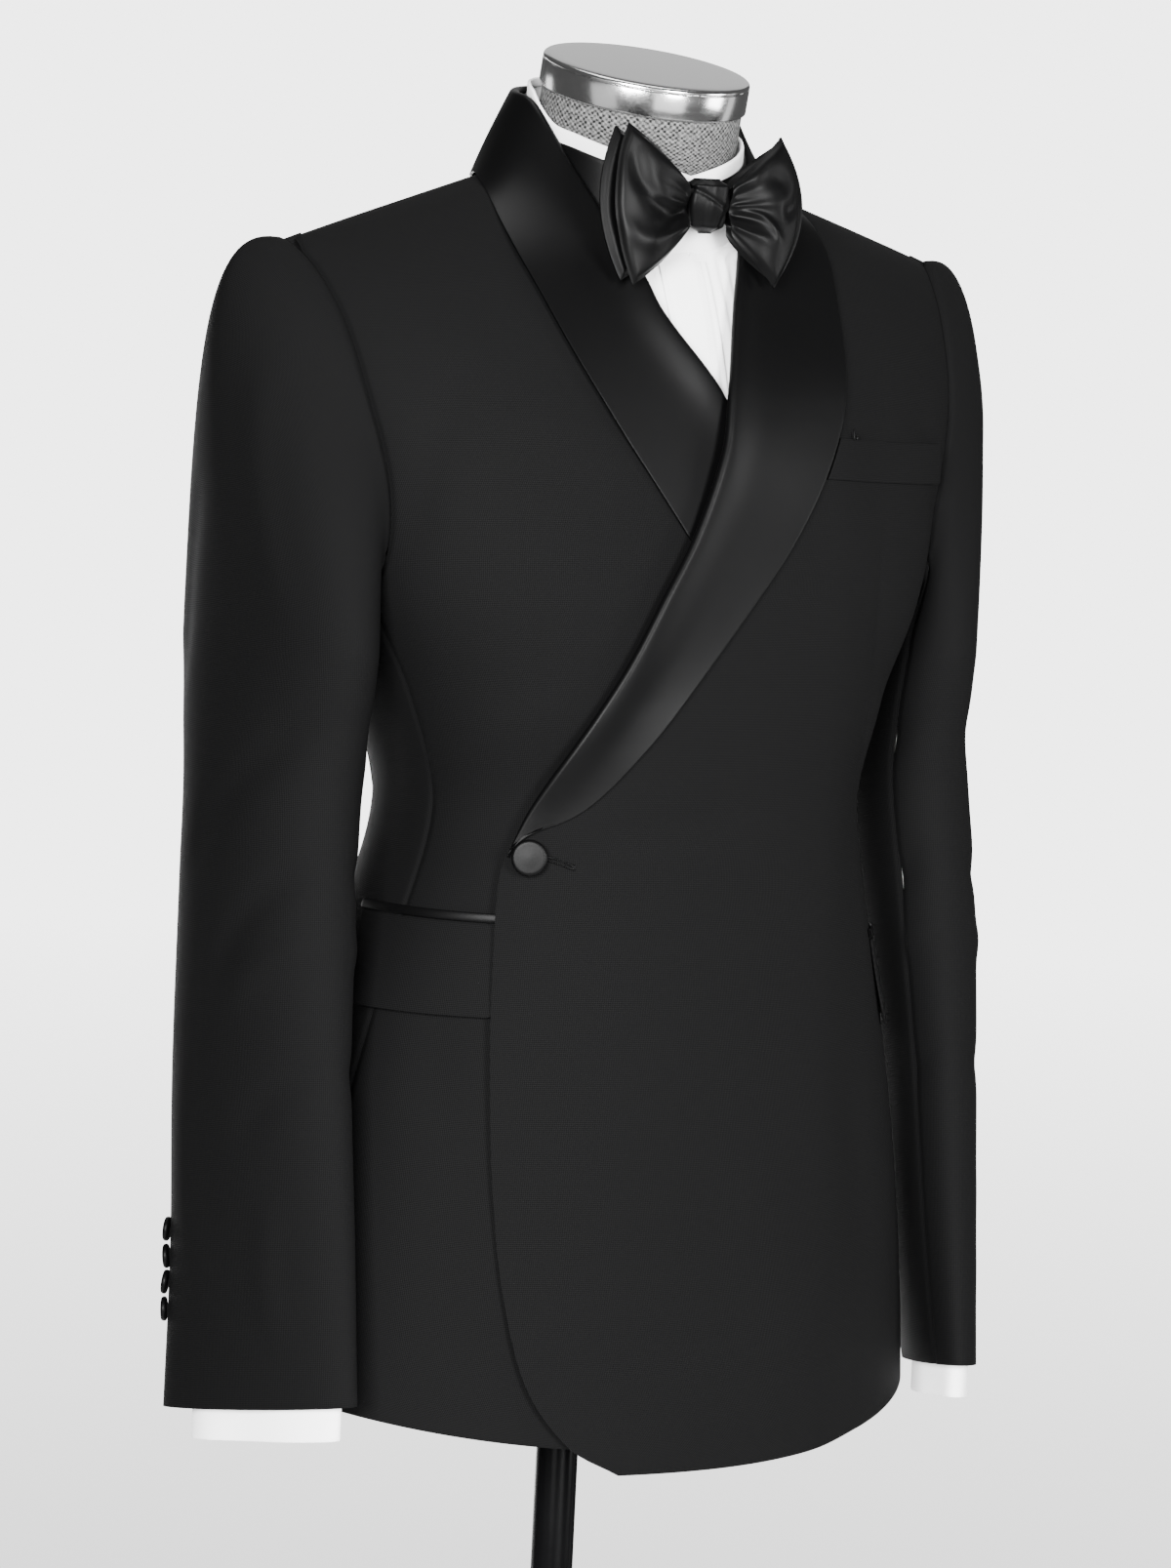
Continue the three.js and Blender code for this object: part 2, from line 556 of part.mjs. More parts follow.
function breastWelt() {
  const skin = (depth) => (across, along) => {
    const x = mix(WELT.innerX + WELT.lean * along, WELT.outerX, across);
    const z = WELT.innerZ + WELT.slant * across + WELT.height * along;
    return onFront(x, z, wrapLift(x, z) + LAYER_GAP + FLAP_CLOTH - depth);
  };
  return wall("breast_welt", finishes.cloth, 2, 8, skin(0), skin(FLAP_CLOTH));
}

// Covered button as a turned shape with a domed face, facing along a direction
function coveredButton(name, radius, height, centre, facing) {
  const profile = [
    new THREE.Vector2(0, 0),
    new THREE.Vector2(radius * 0.8, 0),
    new THREE.Vector2(radius, height * 0.45),
    new THREE.Vector2(radius * 0.72, height * 0.92),
    new THREE.Vector2(0, height * 1.06),
  ];
  const geometry = new THREE.LatheGeometry(profile, 12);
  const upright = new THREE.Vector3(0, 1, 0);
  geometry.applyQuaternion(new THREE.Quaternion().setFromUnitVectors(upright, facing));
  geometry.translate(centre.x, centre.y, centre.z);
  const mesh = new THREE.Mesh(geometry, finishes.satin);
  mesh.name = name;
  return mesh;
}

const FRONT_BUTTON = { x: -111, z: 1121, radius: 10, height: 5 };

function frontButton() {
  const { x, z, radius, height } = FRONT_BUTTON;
  const seat = onFront(x, z, wrapLift(x, z) + 2 * LAYER_GAP + SATIN);
  const facing = onFront(x, z, 20).sub(onFront(x, z, 0)).normalize();
  return coveredButton("front_button", radius, height, seat, facing);
}

// Sleeve buttons up the back seam of each sleeve
const SLEEVE_BUTTON = { count: 4, radius: 7, height: 4, first: 0.868, pitch: 0.0198, turn: 168 };

function sleeveButtons(side) {
  const label = side < 0 ? "right" : "left";
  return Array.from({ length: SLEEVE_BUTTON.count }, (_, index) => {
    const along = SLEEVE_BUTTON.first + index * SLEEVE_BUTTON.pitch;
    const turn = SLEEVE_BUTTON.turn * DEGREE;
    const seat = mirrored(sleeveSkin(turn, along, 0.3), side);
    const facing = mirrored(sleeveSkin(turn, along, 10), side).sub(seat).normalize();
    const name = `${label}_sleeve_button_${index + 1}`;
    return coveredButton(name, SLEEVE_BUTTON.radius, SLEEVE_BUTTON.height, seat, facing);
  });
}

// Shirt front halves, back, sleeves and cuffs, inside the jacket
const shirtRows = [
  { row: 0, edgeX: 0.2, edgeZ: SHIRT_HEM, level: SHIRT_HEM },
  { row: 1, edgeX: 0.2, edgeZ: 960, level: 960 },
  { row: 2, edgeX: 0.2, edgeZ: 1060, level: 1060 },
  { row: 3, edgeX: 0.2, edgeZ: 1150, level: 1150 },
  { row: 4, edgeX: 0.2, edgeZ: 1210, level: 1205 },
  { row: 5, edgeX: 0.2, edgeZ: 1262, level: 1250 },
  { row: 6, edgeX: 0.2, edgeZ: 1290, level: 1268 },
  { row: 7, edgeX: 0.2, edgeZ: 1335, level: 1300 },
  { row: 8, edgeX: 0.2, edgeZ: 1380, level: 1345 },
  { row: 9, edgeX: 0.2, edgeZ: 1425, level: 1395 },
  { row: 10, edgeX: 0.2, edgeZ: 1462, level: 1430 },
  { row: 11, edgeX: 36, edgeZ: 1473, level: 1452 },
  { row: 12, edgeX: 58, edgeZ: 1494, level: 1460 },
  { row: 13, edgeX: 66, edgeZ: 1520, level: 1462 },
];

function shirtSide(level) {
  return level > ARMHOLE.middle - ARMHOLE.down ? 90 * DEGREE - armholeReach(level) : 90 * DEGREE;
}

function shirtFront(name, side) {
  const skin = (depth) => (across, along) => {
    const row = along * (shirtRows.length - 1);
    const column = (key) => tableAt(shirtRows, key, "row", row);
    const level = column("level");
    const edgeV = heightToV(column("edgeX"), column("edgeZ"));
    const v = mix(edgeV, riseTo(level), across);
    const phi = mix(phiOf(column("edgeX"), edgeV), shirtSide(level) - 0.002, across);
    return mirrored(bodySkin(phi, v, SHIRT_DEPTH - depth), side);
  };
  return wall(name, finishes.shirt, shirtRows.length - 1, 6, skin(0), skin(SHIRT_CLOTH));
}

function shirtBack() {
  const skin = (depth) => (across, along) => {
    const share = 2 * across - 1;
    const sideV = mix(SHIRT_HEM, SHOULDER_V, along);
    const centreV = mix(SHIRT_HEM, heightToV(0, SHIRT_NAPE), along);
    const v = mix(centreV, sideV, smoothStep(0, 0.35, Math.abs(share)));
    const phi = Math.PI - (shirtSide(levelOf(sideV)) - 0.004) * share;
    return bodySkin(phi, Math.min(v, SHOULDER_V - 3), SHIRT_BACK_DEPTH - depth);
  };
  return wall("shirt_back", finishes.shirt, 17, 14, skin(0), skin(SHIRT_CLOTH));
}

// Placket down the middle of the shirt front
const PLACKET = { half: 16, top: 1455, cloth: 1 };

function shirtPlacket() {
  const skin = (depth) => (across, along) => {
    const x = mix(-PLACKET.half, PLACKET.half, across);
    const z = mix(SHIRT_HEM, PLACKET.top, along);
    return onFront(x, z, SHIRT_DEPTH + 0.9 + PLACKET.cloth - depth);
  };
  return wall("shirt_placket", finishes.shirt, 14, 2, skin(0), skin(PLACKET.cloth));
}

const SHIRT_SLEEVE_DEPTH = 5.2;
const CUFF = { breadth: 102, thickness: 28, ahead: 5, top: 862, below: 18, cloth: 1.6, slant: 6 };

function cuffRing(turn, height, inset) {
  const column = (name) => tableAt(sleeveSections, name, "height", height);
  const toe = column("toe") * DEGREE;
  const ahead = CUFF.ahead + (CUFF.breadth / 2 - inset) * Math.cos(turn);
  const out = (CUFF.thickness / 2 - inset) * Math.sin(turn);
  const x = column("x") - Math.sin(toe) * ahead + Math.cos(toe) * out;
  const y = column("y") - Math.cos(toe) * ahead - Math.sin(toe) * out;
  return new THREE.Vector3(x, y, height + CUFF.slant * Math.cos(turn));
}

function shirtSleeve(name, side) {
  const skin = (depth) => (around, along) => {
    const turn = 2 * Math.PI * around;
    const place = mix(0.07, 0.9, along);
    const loose = sleeveSkin(turn, place, -SHIRT_SLEEVE_DEPTH - depth);
    const gathered = cuffRing(turn, CUFF.top + 0.3, depth);
    return mirrored(loose.lerp(gathered, smoothStep(0.5, 1, along)), side);
  };
  return wall(name, finishes.shirt, 10, 14, skin(0), skin(SHIRT_CLOTH), true);
}

function shirtCuff(name, side) {
  const skin = (depth) => (around, along) => {
    const height = mix(CUFF.top, SLEEVE_HEM - CUFF.below, along);
    return mirrored(cuffRing(2 * Math.PI * around, height, depth), side);
  };
  return wall(name, finishes.shirt, 2, 20, skin(0), skin(CUFF.cloth), true);
}

// Shirt collar and the bow tie's band, as rings round the neck
const collarTops = [
  { angle: 0, top: 1508, foot: 1464 },
  { angle: 45, top: 1522, foot: 1480 },
  { angle: 65, top: 1529, foot: 1496 },
  { angle: 80, top: 1534, foot: 1507 },
  { angle: 95, top: 1545, foot: 1509 },
  { angle: 105, top: 1553, foot: 1509 },
  { angle: 130, top: 1559, foot: 1505 },
  { angle: 180, top: 1562, foot: 1502 },
];

function neckRing(name, finish, radius, cloth, topDrop, height) {
  const skin = (depth) => (around, up) => {
    const angle = 360 * around;
    const folded = angle > 180 ? 360 - angle : angle;
    const top = tableAt(collarTops, "top", "angle", folded) - topDrop;
    const foot = Math.max(tableAt(collarTops, "foot", "angle", folded), top - height);
    const reach = radius - depth;
    const x = reach * Math.sin(angle * DEGREE);
    const y = NECK.middleY - reach * Math.cos(angle * DEGREE);
    return new THREE.Vector3(x, y, mix(foot, top, up));
  };
  return wall(name, finish, 1, 36, skin(0), skin(cloth), true);
}

// Bow tie wings: leaves that flare from the knot to a straight end
function bowLeaf(name, wing, order) {
  const lean = order === 0 ? { y: -3.5, shift: 0, bulge: 8 } : { y: 2, shift: 5, bulge: -1 };
  const span = wing.span + lean.shift;
  const skin = (depth) => (across, up) => {
    const height = mix(BOW.rootHeight, BOW.endHeight, across ** 0.85);
    const tall = up - 0.5;
    const end = span * (1.12 - wing.round * tall * tall + wing.lean * tall);
    const reach = mix(14, end, across);
    const pinch = 2 * Math.sin(3 * Math.PI * up) * (1 - across);
    const bulge = lean.bulge * Math.sin(Math.PI * across) * (1 - 2 * tall * tall);
    const y = BOW.y + lean.y - across * (5 - 13 * tall) - pinch - bulge + depth;
    return new THREE.Vector3(BOW.x + wing.side * reach, y, BOW.z + height * tall);
  };
  return wall(name, finishes.satin, 6, 6, skin(0), skin(SATIN));
}

function bowKnot() {
  const skin = (depth) => (around, up) => {
    const angle = 2 * Math.PI * around;
    const across = (KNOT.halfWidth - depth) * Math.cos(angle);
    const ahead = (KNOT.halfDepth - depth) * Math.sin(angle);
    const z = BOW.z + KNOT.lift + KNOT.height * (up - 0.5);
    return new THREE.Vector3(BOW.x + across, BOW.y + 1 - ahead, z);
  };
  return wall("bow_knot", finishes.satin, 4, 16, skin(0), skin(SATIN), true);
}

// Dress form: closed rings from the hips to the neck, with no arms
const formSections = [
  { height: 1320, halfWidth: 172, middle: -7, halfDepth: 106, square: 2.4 },
  { height: 1380, halfWidth: 168, middle: -5, halfDepth: 93, square: 2.3 },
  { height: 1420, halfWidth: 154, middle: -4, halfDepth: 80, square: 2.2 },
  { height: 1446, halfWidth: 128, middle: -6, halfDepth: 69, square: 2.1 },
  { height: 1466, halfWidth: 92, middle: -9, halfDepth: 62, square: 2 },
  { height: 1484, halfWidth: 65, middle: -12, halfDepth: 57.5, square: 2 },
  { height: 1500, halfWidth: 58.5, middle: -15, halfDepth: 57, square: 2 },
  { height: 1515, halfWidth: 58, middle: -17, halfDepth: 57.5, square: 2 },
  { height: 1550.5, halfWidth: 58, middle: -22.8, halfDepth: 58, square: 2 },
];
const FORM_INSET = 16;
const FORM_SIDES = 28;

function formRings() {
  const rings = [FORM_BOTTOM, 910, 985, 1060, 1110, 1150, 1185, 1220, 1262].map((height) => ({
    height,
    halfWidth: section("halfWidth", height) - FORM_INSET,
    middle: section("middle", height),
    halfDepth: section("halfDepth", height) - FORM_INSET,
    square: section("square", height),
    tilt: 0,
  }));
  for (const row of formSections) {
    const tilt = CAP.tilt * smoothStep(1484, 1550, row.height);
    rings.push({ ...row, tilt });
  }
  return rings;
}

function dressForm() {
  const points = [];
  const rings = formRings();
  for (const ring of rings) {
    for (let index = 0; index < FORM_SIDES; index += 1) {
      const angle = 2 * Math.PI * index / FORM_SIDES;
      const ahead = ring.halfDepth * signedPower(Math.cos(angle), 2 / ring.square);
      const x = ring.halfWidth * signedPower(Math.sin(angle), 2 / ring.square);
      const y = ring.middle - ahead * Math.cos(ring.tilt * DEGREE);
      const z = ring.height - ahead * Math.sin(ring.tilt * DEGREE);
      points.push(new THREE.Vector3(x, y, z));
    }
  }
  const faces = [];
  for (let row = 0; row < rings.length - 1; row += 1) {
    for (let index = 0; index < FORM_SIDES; index += 1) {
      const next = (index + 1) % FORM_SIDES;
      const low = row * FORM_SIDES;
      const high = low + FORM_SIDES;
      faces.push([low + index, low + next, high + next], [low + index, high + next, high + index]);
    }
  }
  const top = (rings.length - 1) * FORM_SIDES;
  for (let index = 1; index < FORM_SIDES - 1; index += 1) {
    faces.push([0, index + 1, index], [top, top + index, top + index + 1]);
  }
  return solidMesh("dress_form", finishes.linen, points, faces);
}

// Turned pieces of the stand
function turned(name, finish, profile, sides, z, tilt = 0, y = 0) {
  const geometry = new THREE.LatheGeometry(profile.map(([r, h]) => new THREE.Vector2(r, h)), sides);
  const mesh = new THREE.Mesh(geometry, finish);
  mesh.name = name;
  mesh.rotation.x = (90 + tilt) * DEGREE;
  mesh.position.set(0, y, z);
  return mesh;
}

function neckCap() {
  const { radius, height } = CAP;
  const half = height / 2;
  const profile = [
    [0, -half], [radius, -half], [radius, half - 2.5], [radius - 0.8, half - 0.8],
    [radius - 2.5, half], [0, half + 0.8],
  ];
  const z = CAP.z - half * Math.cos(CAP.tilt * DEGREE);
  const y = CAP.y + half * Math.sin(CAP.tilt * DEGREE);
  return turned("neck_cap", finishes.steel, profile, 40, z, CAP.tilt, y);
}

function stand() {
  const { radius, height } = BASE;
  const poleTop = FORM_BOTTOM - 12.4;
  return [
    turned("base_plate", finishes.lacquer, [
      [0, 0], [radius, 0], [radius, height - 4], [radius - 6, height], [0, height],
    ], 48, 0),
    turned("pole_foot", finishes.lacquer, [
      [POLE_RADIUS + 0.4, height + 0.3], [34, height + 0.3], [34, height + 4], [19, height + 14],
      [POLE_RADIUS + 0.4, height + 26], [POLE_RADIUS + 0.4, height + 0.3],
    ], 20, 0),
    turned("stand_pole", finishes.lacquer, [
      [0, height + 0.3], [POLE_RADIUS, height + 0.3], [POLE_RADIUS, poleTop], [0, poleTop],
    ], 20, 0),
    turned("pole_flange", finishes.lacquer, [
      [0, poleTop + 0.3], [30, poleTop + 0.3], [45, poleTop + 5], [45, FORM_BOTTOM - 0.3],
      [0, FORM_BOTTOM - 0.3],
    ], 20, 0),
  ];
}

const noLift = () => 0;
const RIGHT = -1;
const LEFT = 1;
const tuxedo = new THREE.Group();
tuxedo.add(
  front("right_front", rightFrontRows, RIGHT, 14, noLift),
  front("left_front", leftFrontRows, LEFT, 8.5, wrapLift),
  sidePanel("right_side_panel", RIGHT),
  sidePanel("left_side_panel", LEFT),
  back("right_back", RIGHT),
  back("left_back", LEFT),
  sleevePiece("right_top_sleeve", RIGHT, FRONT_SEAM_TURN, BACK_SEAM_TURN, 10),
  sleevePiece("right_under_sleeve", RIGHT, BACK_SEAM_TURN, FRONT_SEAM_TURN + 2 * Math.PI, 6),
  sleevePiece("left_top_sleeve", LEFT, FRONT_SEAM_TURN, BACK_SEAM_TURN, 10),
  sleevePiece("left_under_sleeve", LEFT, BACK_SEAM_TURN, FRONT_SEAM_TURN + 2 * Math.PI, 6),
  shawlCollar("right_shawl_collar", rightLapelRows, RIGHT, noLift),
  shawlCollar("left_shawl_collar", leftLapelRows, LEFT, wrapLift),
  collarStand(),
  ...pocket(RIGHT, 41 * DEGREE, 84 * DEGREE, 0),
  ...pocket(LEFT, 57 * DEGREE, 106 * DEGREE, -16),
  breastWelt(),
  frontButton(),
  ...sleeveButtons(RIGHT),
  ...sleeveButtons(LEFT),
  shirtFront("shirt_right_front", RIGHT),
  shirtFront("shirt_left_front", LEFT),
  shirtBack(),
  shirtPlacket(),
  shirtSleeve("shirt_right_sleeve", RIGHT),
  shirtSleeve("shirt_left_sleeve", LEFT),
  shirtCuff("shirt_right_cuff", RIGHT),
  shirtCuff("shirt_left_cuff", LEFT),
  neckRing("shirt_collar", finishes.shirt, NECK.radius, SHIRT_CLOTH, 0, 60),
  neckRing("bow_neckband", finishes.satin, NECK.radius + 1.5, SHIRT_CLOTH, 8, 21),
  bowLeaf("bow_right_front_wing", WINGS.right, 0),
  bowLeaf("bow_left_front_wing", WINGS.left, 0),
  bowLeaf("bow_right_back_wing", WINGS.right, 1),
  bowLeaf("bow_left_back_wing", WINGS.left, 1),
  bowKnot(),
  dressForm(),
  neckCap(),
  ...stand(),
);

export default tuxedo;
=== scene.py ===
"""Blender looks for a wrap-front dinner jacket, shirt and bow tie on a dress form.

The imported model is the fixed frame. Every cloth piece is a fine thin shell on the form of
its solid, worked out from the same sizes in millimetres and made in metres.
"""

import logging
import math
from dataclasses import dataclass, field
from enum import Enum
from typing import Callable

import bmesh
import bpy
import numpy as np
from mathutils import Matrix, Vector


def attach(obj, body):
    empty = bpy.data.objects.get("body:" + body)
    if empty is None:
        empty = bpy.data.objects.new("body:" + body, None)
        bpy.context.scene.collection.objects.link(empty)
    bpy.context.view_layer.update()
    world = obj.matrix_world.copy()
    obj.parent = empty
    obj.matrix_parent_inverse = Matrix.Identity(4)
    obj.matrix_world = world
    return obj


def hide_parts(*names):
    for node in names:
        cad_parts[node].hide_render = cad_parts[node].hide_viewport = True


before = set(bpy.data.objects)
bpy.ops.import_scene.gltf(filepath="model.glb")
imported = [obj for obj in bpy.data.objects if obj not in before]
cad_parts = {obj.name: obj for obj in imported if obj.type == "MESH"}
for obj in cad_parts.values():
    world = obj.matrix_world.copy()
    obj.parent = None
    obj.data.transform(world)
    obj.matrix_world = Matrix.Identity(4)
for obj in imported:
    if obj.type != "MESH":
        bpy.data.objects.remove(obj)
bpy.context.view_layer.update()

Array = np.ndarray
log = logging.getLogger("tuxedo")

MM = 0.001
DEGREE = math.pi / 180


class Side(Enum):
    """The wearer's right or left."""

    RIGHT = -1
    LEFT = 1

    @property
    def word(self) -> str:
        """The side's name as used in node names."""
        return self.name.lower()


class Hold(Enum):
    """How a sheet of cloth is held."""

    HUNG = "hung"
    STRETCHED = "stretched"
    GATHERED = "gathered"
    FOLDED = "folded"


class Table:
    """A short table with named columns, read smoothly between its rows."""

    def __init__(self, columns: tuple[str, ...], *rows: tuple[float, ...]) -> None:
        """Keeps the rows as one array for each named column.

        Args:
            columns: the columns' names; the first one is the key that rows are found by.
            rows: the rows, in rising order of the key.
        """
        self.key = columns[0]
        self.values = dict(zip(columns, np.array(rows, float).T))

    def at(self, column: str, where: Array) -> Array:
        """Smooth values of one column.

        Args:
            column: the column's name.
            where: places on the key column.

        Returns:
            One value for each place, held constant past the ends.
        """
        keys = self.values[self.key]
        heights = self.values[column]
        where = np.clip(where, keys[0], keys[-1])
        row = np.clip(np.searchsorted(keys, where, side="right") - 1, 0, len(keys) - 2)
        slopes = np.empty_like(heights)
        slopes[1:-1] = (heights[2:] - heights[:-2]) / (keys[2:] - keys[:-2])
        slopes[0] = (heights[1] - heights[0]) / (keys[1] - keys[0])
        slopes[-1] = (heights[-1] - heights[-2]) / (keys[-1] - keys[-2])
        span = keys[row + 1] - keys[row]
        part = (where - keys[row]) / span
        soft = part * part * (3 - 2 * part)
        start = part * (1 - part) ** 2 * span * slopes[row]
        end = part * part * (part - 1) * span * slopes[row + 1]
        return heights[row] * (1 - soft) + heights[row + 1] * soft + start + end


def mix(low: Array, high: Array, part: Array) -> Array:
    """Straight blend from low to high."""
    return low + (high - low) * part


def ease(low: float, high: float, value: Array) -> Array:
    """Smooth step from 0 at low to 1 at high."""
    part = np.clip((value - low) / (high - low), 0, 1)
    return part * part * (3 - 2 * part)


def signed_power(value: Array, power: Array) -> Array:
    """Power of a value's size that keeps its sign."""
    return np.sign(value) * np.abs(value) ** power


def stack(x: Array, y: Array, z: Array) -> Array:
    """Points from their three coordinates."""
    return np.stack(np.broadcast_arrays(x, y, z), axis=-1).astype(float)


def unit(vectors: Array) -> Array:
    """Vectors scaled to length one."""
    return vectors / np.maximum(np.linalg.norm(vectors, axis=-1, keepdims=True), 1e-9)


def lerp(low: Array, high: Array, part: Array) -> Array:
    """Straight blend between points."""
    return low + (high - low) * np.asarray(part)[..., None]


def relaxed(points: Array, share: Array, times: int) -> Array:
    """Evens out points along their columns.

    Args:
        points: rows of points.
        share: how far each point may move towards its neighbours, from 0 to 1.
        times: how often the step is repeated.

    Returns:
        The smoother points, with the first and last rows kept.
    """
    points = points.copy()
    for _ in range(times):
        middle = (points[2:] + points[:-2]) / 2
        points[1:-1] += 0.5 * share[1:-1, :, None] * (middle - points[1:-1])
    return points


def near_edges(part: Array, packed: float = 0.75) -> Array:
    """Packs even steps from 0 to 1 closer together near both ends."""
    return part - packed * np.sin(2 * math.pi * part) / (2 * math.pi)


UNDERARM = 1265.0
SHOULDER_X = 217.0
SHOULDER_Z = 1462.0
SHOULDER_SLOPE = 0.325
RISE_SPAN = 200.0
SHOULDER_V = UNDERARM + RISE_SPAN * math.pi / 2
SIDE_SEAM = 76 * DEGREE
BACK_SEAM = 61.5 * DEGREE

BODY = Table(
    ("height", "half_width", "middle", "half_depth", "square"),
    (770, 213, -12, 138, 2.1),
    (860, 207, -13, 134, 2.1),
    (960, 192, -17, 127, 2.12),
    (1060, 168, -24, 115, 2.2),
    (1150, 145, -30, 106, 2.3),
    (1210, 161, -22, 116, 2.45),
    (1265, 186, -10, 127, 2.6),
    (1340, 207, -6, 127, 2.65),
    (1385, 218, -4, 127, 2.65),
    (1430, 220, -2, 127, 2.65),
    (1462, 217, 0, 127, 2.65),
)


class Torso:
    """The jacket's body surface: phi runs round it and v up it and over the shoulder."""

    @staticmethod
    def level(v: Array) -> Array:
        """Level of the section that a place v belongs to."""
        turn = np.maximum(0, (v - UNDERARM) / RISE_SPAN)
        return np.where(v <= UNDERARM, v, UNDERARM + np.sin(turn) * (SHOULDER_Z - UNDERARM))

    @staticmethod
    def shoulder(x: Array) -> Array:
        """Height of the shoulder line over a place x."""
        return SHOULDER_Z + SHOULDER_SLOPE * (SHOULDER_X - np.abs(x))

    @classmethod
    def point(cls, phi: Array, v: Array) -> Array:
        """Points of the surface, in millimetres."""
        turn = np.maximum(0, (v - UNDERARM) / RISE_SPAN)
        level = cls.level(v)
        power = 2 / BODY.at("square", level)
        x = BODY.at("half_width", level) * signed_power(np.sin(phi), power)
        depth = BODY.at("half_depth", level) * np.cos(turn)
        y = BODY.at("middle", level) - depth * signed_power(np.cos(phi), power)
        over = UNDERARM + np.sin(turn) * (cls.shoulder(x) - UNDERARM)
        return stack(x, y, np.where(v <= UNDERARM, v, over))

    @classmethod
    def skin(cls, phi: Array, v: Array, lift: Array) -> Array:
        """Points moved out from the surface by a lift."""
        across = cls.point(phi + 0.01, v) - cls.point(phi - 0.01, v)
        along = cls.point(phi, v + 1) - cls.point(phi, v - 1)
        normal = unit(np.cross(across, along))
        return cls.point(phi, v) + normal * np.asarray(lift)[..., None]

    @staticmethod
    def rise(level: Array) -> Array:
        """Place v of a level."""
        part = np.clip((level - UNDERARM) / (SHOULDER_Z - UNDERARM), 0, 1)
        return np.where(level <= UNDERARM, level, UNDERARM + RISE_SPAN * np.arcsin(part))

    @classmethod
    def v_of(cls, x: Array, z: Array) -> Array:
        """Place v of a height z over a place x."""
        part = np.clip((z - UNDERARM) / (cls.shoulder(x) - UNDERARM), 0, 1)
        return np.where(z <= UNDERARM, z, UNDERARM + RISE_SPAN * np.arcsin(part))

    @classmethod
    def phi_of(cls, x: Array, v: Array) -> Array:
        """Angle of a place x at a place v."""
        level = cls.level(v)
        share = np.clip(np.abs(x) / BODY.at("half_width", level), 0, 1)
        return np.sign(x) * np.arcsin(share ** (BODY.at("square", level) / 2))

    @classmethod
    def spread(cls, phi: Array, v: Array) -> Array:
        """Part width and part angle, for even spacing across a front."""
        power = 2 / BODY.at("square", cls.level(v))
        return signed_power(np.sin(phi), power) + phi / (90 * DEGREE)

    @classmethod
    def phi_at_spread(cls, spread: Array, v: Array) -> Array:
        """Angle with a given spread, found by halving."""
        low = np.full_like(spread, -90 * DEGREE)
        high = -low
        for _ in range(30):
            middle = (low + high) / 2
            short = cls.spread(middle, v) < spread
            low = np.where(short, middle, low)
            high = np.where(short, high, middle)
        return (low + high) / 2

    @classmethod
    def on_front(cls, x: Array, z: Array, lift: Array) -> Array:
        """Points over the front at a front view's x and z."""
        v = cls.v_of(x, z)
        return cls.skin(cls.phi_of(x, v), v, lift)

    @classmethod
    def over_shoulder(cls, x: Array, over: Array, lift: Array) -> Array:
        """Points at x where over is 1 on the shoulder seam and more behind it."""
        v = UNDERARM + RISE_SPAN * over * math.pi / 2
        return cls.skin(cls.phi_of(x, v), v, lift)


@dataclass(frozen=True)
class Armhole:
    """The armhole edge on the body as a rounded loop."""

    middle: float = 1365
    up: float = 97
    down: float = 103
    reach: float = 28.5 * DEGREE
    square: float = 2.5

    def at(self, turn: Array) -> tuple[Array, Array]:
        """Angle and place v of the edge: turn 0 is its front and 90 degrees its top."""
        power = 2 / self.square
        lift = np.where(np.sin(turn) > 0, self.up, self.down)
        level = self.middle + lift * signed_power(np.sin(turn), power)
        phi = 90 * DEGREE - self.reach * signed_power(np.cos(turn), power)
        return phi, Torso.rise(level)

    def reach_at(self, level: Array) -> Array:
        """Half width of the armhole at a level, as an angle."""
        lift = np.where(level > self.middle, self.up, self.down)
        share = np.clip(np.abs(level - self.middle) / lift, 0, 1)
        return self.reach * (1 - share**self.square) ** (1 / self.square)

    def floor(self, phi: Array) -> Array:
        """Level of the armhole's underside at an angle."""
        share = np.clip(np.abs(phi - 90 * DEGREE) / self.reach, 0, 1)
        return self.middle - self.down * (1 - share**self.square) ** (1 / self.square)


ARMHOLE = Armhole()


@dataclass(frozen=True)
class Crease:
    """One soft trough or ridge between two places of a view, in millimetres."""

    start: tuple[float, float]
    end: tuple[float, float]
    width: float
    rise: float
    bend: float = 0.06

    def lift(self, across: Array, up: Array) -> Array:
        """Lift of the cloth near the crease.

        Args:
            across: horizontal places in the crease's view.
            up: vertical places in the crease's view.

        Returns:
            The lift along the surface's normal, in millimetres.
        """
        line = np.array(self.end, float) - np.array(self.start, float)
        length = float(np.hypot(*line))
        away_x = across - self.start[0]
        away_z = up - self.start[1]
        share = (away_x * line[0] + away_z * line[1]) / length**2
        off = (away_x * line[1] - away_z * line[0]) / length
        bow = off + self.bend * length * np.sin(math.pi * np.clip(share, 0, 1))
        fade = ease(-0.12, 0.25, share) * (1 - ease(0.7, 1.12, share))
        return self.rise * fade * np.exp(-((bow / self.width) ** 2))


